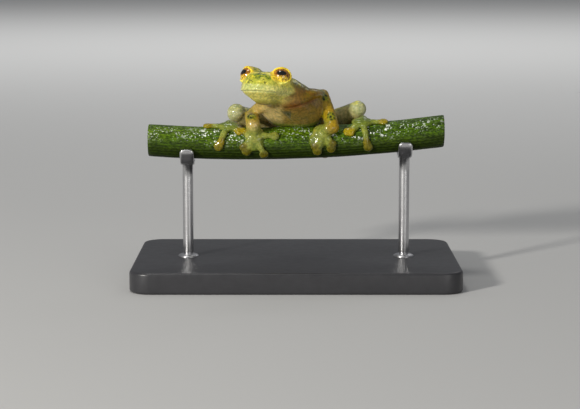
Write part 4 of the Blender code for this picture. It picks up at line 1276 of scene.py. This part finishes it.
def stem_material(colours):
    """A green stem: darker in its grooves, darker underneath as painted shade, and strewn with tiny white specks that
    are painted glints of wet film.
    """
    material, tree, shader = new_material("stem_skin", Roughness=0.45, Specular_IOR_Level=0.16, Coat_Weight=0.08,
                                          Coat_Roughness=0.15)
    place = object_place(tree)
    long_place = add_node(tree, "ShaderNodeMapping", {"Vector": place, "Scale": (0.16, 1.0, 1.0)}).outputs[0]
    streaks = noise(tree, long_place, 2600.0, 4.0, 0.6)
    colour = blend(tree, between(tree, streaks, 0.36, 0.62), scaled(colours.stem, 0.5), scaled(colours.stem, 1.45))
    ridge = compute(tree, "ADD", compute(tree, "MULTIPLY", read_mask(tree, "rib"), 0.6), 0.4)
    colour = blend(tree, ridge, scaled(colours.stem, 0.4), colour)
    slow = between(tree, noise(tree, long_place, 300.0, 2.0), 0.4, 0.65)
    colour = blend(tree, compute(tree, "MULTIPLY", slow, 0.35), colour, colours.stem_light)
    pores = add_node(tree, "ShaderNodeMapping", {"Vector": place, "Scale": (0.45, 1.0, 1.0)}).outputs[0]
    pores = between(tree, noise(tree, pores, 5200.0, 3.0, 0.6), 0.4, 0.6)
    shade = blend(tree, pores, (0.45, 0.5, 0.4, 1.0), (1.5, 1.45, 1.5, 1.0))
    colour = blend(tree, 1.0, colour, shade, "MULTIPLY")
    # Painted shade: the stem is painted darker underneath
    under = between(tree, read_mask(tree, "under"), 0.25, 0.8)
    colour = blend(tree, compute(tree, "MULTIPLY", under, 0.85), colour, scaled(colours.stem, 0.12))
    cut = read_mask(tree, "cut")
    pith = noise(tree, place, 3800.0, 3.0)
    inner = blend(tree, pith, scaled(colours.pith, 0.8), scaled(colours.pith, 1.15))
    colour = blend(tree, between(tree, cut, 0.12, 0.24), colour, inner)
    # Painted glints: white specks stand in for light caught by wet film on the stem
    dew_glint = read_mask(tree, "dew_glint")
    fine = use_group(tree, fleck_group, Scale=3600.0, Size=0.36, Cover=0.42)
    large = use_group(tree, fleck_group, Scale=1500.0, Size=0.4, Cover=0.53)
    damp_glint = compute(tree, "MULTIPLY", compute(tree, "MAXIMUM", fine, large), dew_glint)
    colour = blend(tree, damp_glint, colour, colours.dew_glint)
    tree.links.new(colour, shader.inputs["Base Color"])
    tree.links.new(use_group(tree, grain_group, Scale=3000.0, Depth=0.00003), shader.inputs["Normal"])
    return material


def base_material(colours):
    """Satin dark plate with a faint haze of fine wear."""
    material, tree, shader = new_material("stand_plate", IOR=1.49)
    haze = noise(tree, object_place(tree), 900.0, 4.0)
    colour = blend(tree, haze, scaled(colours.stand, 0.85), scaled(colours.stand, 1.2))
    tree.links.new(colour, shader.inputs["Base Color"])
    tree.links.new(compute(tree, "ADD", compute(tree, "MULTIPLY", haze, 0.12), 0.3), shader.inputs["Roughness"])
    return material


def steel_material():
    """Satin steel with fine marks round the rod."""
    material, tree, shader = new_material("stand_metal", Metallic=1.0)
    rings = add_node(tree, "ShaderNodeMapping", {"Vector": object_place(tree), "Scale": (0.2, 0.2, 1.0)}).outputs[0]
    value = noise(tree, rings, 6000.0, 3.0)
    colour = blend(tree, value, (0.5, 0.5, 0.51, 1.0), (0.62, 0.62, 0.63, 1.0))
    tree.links.new(colour, shader.inputs["Base Color"])
    tree.links.new(compute(tree, "ADD", compute(tree, "MULTIPLY", value, 0.14), 0.24), shader.inputs["Roughness"])
    return material


def floor_material(colours):
    """Plain pale matt floor."""
    material, tree, shader = new_material("floor_pale", Roughness=0.85, Specular_IOR_Level=0.2)
    shader.inputs["Base Color"].default_value = (*colours.floor, 1.0)
    return material


def dress(item, material, nodes):
    """Give a piece its material and its body, and hide the nodes that it stands for."""
    item.data.materials.clear()
    item.data.materials.append(material)
    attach(item, "root")
    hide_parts(*nodes)
    return item


# Add-on: values, operators and panel

def colour_property(name, description, default):
    """A colour that the user can change."""
    return bpy.props.FloatVectorProperty(name=name, description=description, default=default,
                                         subtype="COLOR", size=len(default), min=0.0, max=1.0)


class GlassFrogSizes(bpy.types.PropertyGroup):
    """How fine the model's meshes are, and how its camera stands."""
    voxel: bpy.props.FloatProperty(
        name="Skin voxel", description="Size of the voxels that join the flesh, in millimetres",
        default=0.148, min=0.1, max=0.4)
    ribs: bpy.props.IntProperty(
        name="Stem ribs", description="How many fine ribs run along the stem", default=30, min=8, max=60)
    edge: bpy.props.FloatProperty(
        name="Plate edge", description="Radius of the base plate's edges, in millimetres",
        default=0.4, min=0.1, max=1.0)
    distance: bpy.props.FloatProperty(
        name="Camera distance", description="From the camera to the point that it aims at",
        default=0.25, min=0.1, max=1.0, unit="LENGTH", subtype="DISTANCE")
    height: bpy.props.FloatProperty(
        name="Camera height", description="Angle of the camera over the model",
        default=math.radians(8.0), min=0.0, max=math.radians(80.0), unit="ROTATION", subtype="ANGLE")


class GlassFrogColours(bpy.types.PropertyGroup):
    """The model's colours, as linear values."""
    head: colour_property("Head", "Lime skin of the head", (0.64, 0.58, 0.07, 1.0))
    lip: colour_property("Lips", "Pale edge of the upper jaw", (0.62, 0.62, 0.34, 1.0))
    throat: colour_property("Throat", "Pale skin under the jaw", (0.72, 0.63, 0.17, 1.0))
    breast: colour_property("Breast", "Tan skin from the chest to the shoulder", (0.17, 0.06, 0.002, 1.0))
    # This orange also paints the arm fold's crease, partly as painted shade
    chest: colour_property("Chest", "Orange tint of the chest", (0.15, 0.037, 0.001, 1.0))
    belly: colour_property("Belly", "Clear skin of the belly", (0.26, 0.165, 0.035, 1.0))
    # The cream also covers both thighs, where it is partly painted light
    cream: colour_property("Cream", "Pale right half of the belly", (0.54, 0.41, 0.165, 1.0))
    back: colour_property("Back", "Green skin of the back", (0.15, 0.2, 0.015, 1.0))
    limb: colour_property("Limbs", "Amber skin of the arms", (0.35, 0.22, 0.004, 1.0))
    knee: colour_property("Knees", "Pale skin of the knees", (0.45, 0.47, 0.27, 1.0))
    toe: colour_property("Fingers", "Clear skin of the fingers", (0.23, 0.26, 0.04, 1.0))
    foot: colour_property("Feet", "Clear skin of the feet over the stem", (0.12, 0.165, 0.015, 1.0))
    disc: colour_property("Discs", "Yellow discs of the finger tips", (0.115, 0.092, 0.0, 1.0))
    # Toe discs: a brighter gold than the finger discs, partly painted light on the upper toes
    glow: colour_property("Toe discs", "Golden discs of the toes", (0.32, 0.24, 0.0, 1.0))
    lid: colour_property("Lids", "Golden rims of the eyes", (0.9, 0.62, 0.035, 1.0))
    # This pale yellow also paints the highlight between the eyes and the light on the left cheek
    lid_low: colour_property("Lower lids", "Pale lower rims of the eyes", (1.0, 0.9, 0.18, 1.0))
    # This green also paints the shade on the tip of the snout
    green: colour_property("Patches", "Green patches of the head", (0.12, 0.24, 0.008, 1.0))
    yellow: colour_property("Yellow", "Yellow patches of the crown and back", (0.85, 0.74, 0.03, 1.0))
    fleck: colour_property("Flecks", "Dark green flecks of the skin", (0.03, 0.055, 0.01, 1.0))
    iris: colour_property("Iris", "Golden iris", (0.5, 0.21, 0.014, 1.0))
    iris_dark: colour_property("Iris flecks", "Brown flecks of the iris", (0.09, 0.03, 0.004, 1.0))
    iris_light: colour_property("Iris glow", "Bright lower part of the iris", (0.95, 0.68, 0.04, 1.0))
    stem: colour_property("Stem", "Green of the stem", (0.05, 0.102, 0.001, 1.0))
    stem_light: colour_property("Stem light", "Yellow-green patches of the stem", (0.12, 0.19, 0.003, 1.0))
    pith: colour_property("Pith", "Pale inside of the cut stem", (0.5, 0.56, 0.3, 1.0))
    # Painted glints: white specks that stand in for light caught by wet film on the stem
    dew_glint: colour_property("Damp", "White specks on the stem", (0.95, 1.0, 0.9, 1.0))
    stand: colour_property("Stand", "Base plate", (0.03, 0.03, 0.033, 1.0))
    floor: colour_property("Floor", "Studio floor", (0.57, 0.57, 0.56))


class GLASSFROG_OT_skin(bpy.types.Operator):
    """Build the frog's skin over the solids of its head, trunk and limbs"""
    bl_idname = "glassfrog.skin"
    bl_label = "Skin"

    def execute(self, context):
        item = make_skin(context.scene.glass_frog_sizes.voxel)
        dress(item, skin_material(context.scene.glass_frog_colours), FLESH_NODES)
        return {"FINISHED"}


class GLASSFROG_OT_eyes(bpy.types.Operator):
    """Build both eyes with their golden iris and oval pupil"""
    bl_idname = "glassfrog.eyes"
    bl_label = "Eyes"

    def execute(self, context):
        material = eye_material(context.scene.glass_frog_colours)
        for word, side in (("left", 1), ("right", -1)):
            dress(make_eye(f"frog_eye_{word}", side), material, [f"eye_{word}"])
        return {"FINISHED"}


class GLASSFROG_OT_stem(bpy.types.Operator):
    """Build the cut length of ribbed stem"""
    bl_idname = "glassfrog.stem"
    bl_label = "Stem"

    def execute(self, context):
        item = make_stem(context.scene.glass_frog_sizes.ribs)
        dress(item, stem_material(context.scene.glass_frog_colours), ["perch_stem"])
        return {"FINISHED"}


class GLASSFROG_OT_stand(bpy.types.Operator):
    """Build the stand: the base plate and the two rods with their cradles"""
    bl_idname = "glassfrog.stand"
    bl_label = "Stand"

    def execute(self, context):
        plate = make_base(context.scene.glass_frog_sizes.edge)
        dress(plate, base_material(context.scene.glass_frog_colours), ["stand_base"])
        metal = steel_material()
        for word, x in (("left", ROD_REACH), ("right", -ROD_REACH)):
            dress(make_rod(f"rod_{word}", x), metal, [f"stand_rod_{word}"])
        return {"FINISHED"}


class GLASSFROG_OT_stage(bpy.types.Operator):
    """Set up the pale floor, the soft studio lights and the camera"""
    bl_idname = "glassfrog.stage"
    bl_label = "Stage"

    def execute(self, context):
        scene = context.scene
        sizes, colours = scene.glass_frog_sizes, scene.glass_frog_colours
        turn = np.linspace(0.0, 2.0 * np.pi, 96, endpoint=False)
        rim = np.stack((np.cos(turn), np.sin(turn), np.zeros(96)), axis=-1) * FLOOR_RADIUS
        mesh = bpy.data.meshes.new("studio_floor")
        mesh.from_pydata(rim.tolist(), [], [tuple(range(96))])
        floor = new_object("studio_floor", mesh)
        mesh.materials.append(floor_material(colours))
        world = bpy.data.worlds.new("studio")
        scene.world = world
        world.use_nodes = True
        sky = world.node_tree.nodes["Background"]
        sky.inputs["Color"].default_value = (0.93, 0.95, 1.0, 1.0)
        sky.inputs["Strength"].default_value = WORLD_STRENGTH
        for name, place, target, size, energy, tint in LIGHTS:
            lamp = bpy.data.lights.new(name, "AREA")
            lamp.shape = "DISK"
            lamp.size = size
            lamp.energy = energy
            lamp.color = tint
            item = bpy.data.objects.new(name, lamp)
            scene.collection.objects.link(item)
            item.location = place
            item.rotation_euler = (Vector(target) - item.location).to_track_quat("-Z", "Y").to_euler()
        lens = bpy.data.cameras.new("camera")
        lens.lens = CAMERA_LENS
        lens.sensor_width = CAMERA_SENSOR
        lens.clip_start = 0.001
        camera = bpy.data.objects.new("camera", lens)
        scene.collection.objects.link(camera)
        aim = Vector(to_frame(np.array(CAMERA_AIM)))
        back = Vector((0.0, -math.cos(sizes.height), math.sin(sizes.height)))
        camera.location = aim + back * sizes.distance
        camera.rotation_euler = (-back).to_track_quat("-Z", "Y").to_euler()
        scene.camera = camera
        scene.view_settings.view_transform = "Standard"
        return {"FINISHED"}


class GLASSFROG_PT_panel(bpy.types.Panel):
    """Lists the steps that build the model, and its values"""
    bl_idname = "GLASSFROG_PT_panel"
    bl_label = "Glass Frog"
    bl_space_type = "VIEW_3D"
    bl_region_type = "UI"
    bl_category = "Glass Frog"

    def draw(self, context):
        layout = self.layout
        for operator in OPERATORS:
            layout.operator(operator.bl_idname)
        for group in (context.scene.glass_frog_sizes, context.scene.glass_frog_colours):
            column = layout.column()
            for name in type(group).__annotations__:
                column.prop(group, name)


OPERATORS = (GLASSFROG_OT_skin, GLASSFROG_OT_eyes, GLASSFROG_OT_stem, GLASSFROG_OT_stand, GLASSFROG_OT_stage)
CLASSES = (GlassFrogSizes, GlassFrogColours, *OPERATORS, GLASSFROG_PT_panel)


def register():
    """Register the classes and the two groups of values."""
    for item in CLASSES:
        bpy.utils.register_class(item)
    bpy.types.Scene.glass_frog_sizes = bpy.props.PointerProperty(type=GlassFrogSizes)
    bpy.types.Scene.glass_frog_colours = bpy.props.PointerProperty(type=GlassFrogColours)


def unregister():
    """Remove the groups of values and the classes."""
    del bpy.types.Scene.glass_frog_sizes
    del bpy.types.Scene.glass_frog_colours
    for item in reversed(CLASSES):
        bpy.utils.unregister_class(item)


def main():
    """Build every piece in order."""
    register()
    bpy.ops.glassfrog.skin()
    bpy.ops.glassfrog.eyes()
    bpy.ops.glassfrog.stem()
    bpy.ops.glassfrog.stand()
    bpy.ops.glassfrog.stage()


if __name__ == "__main__":
    main()
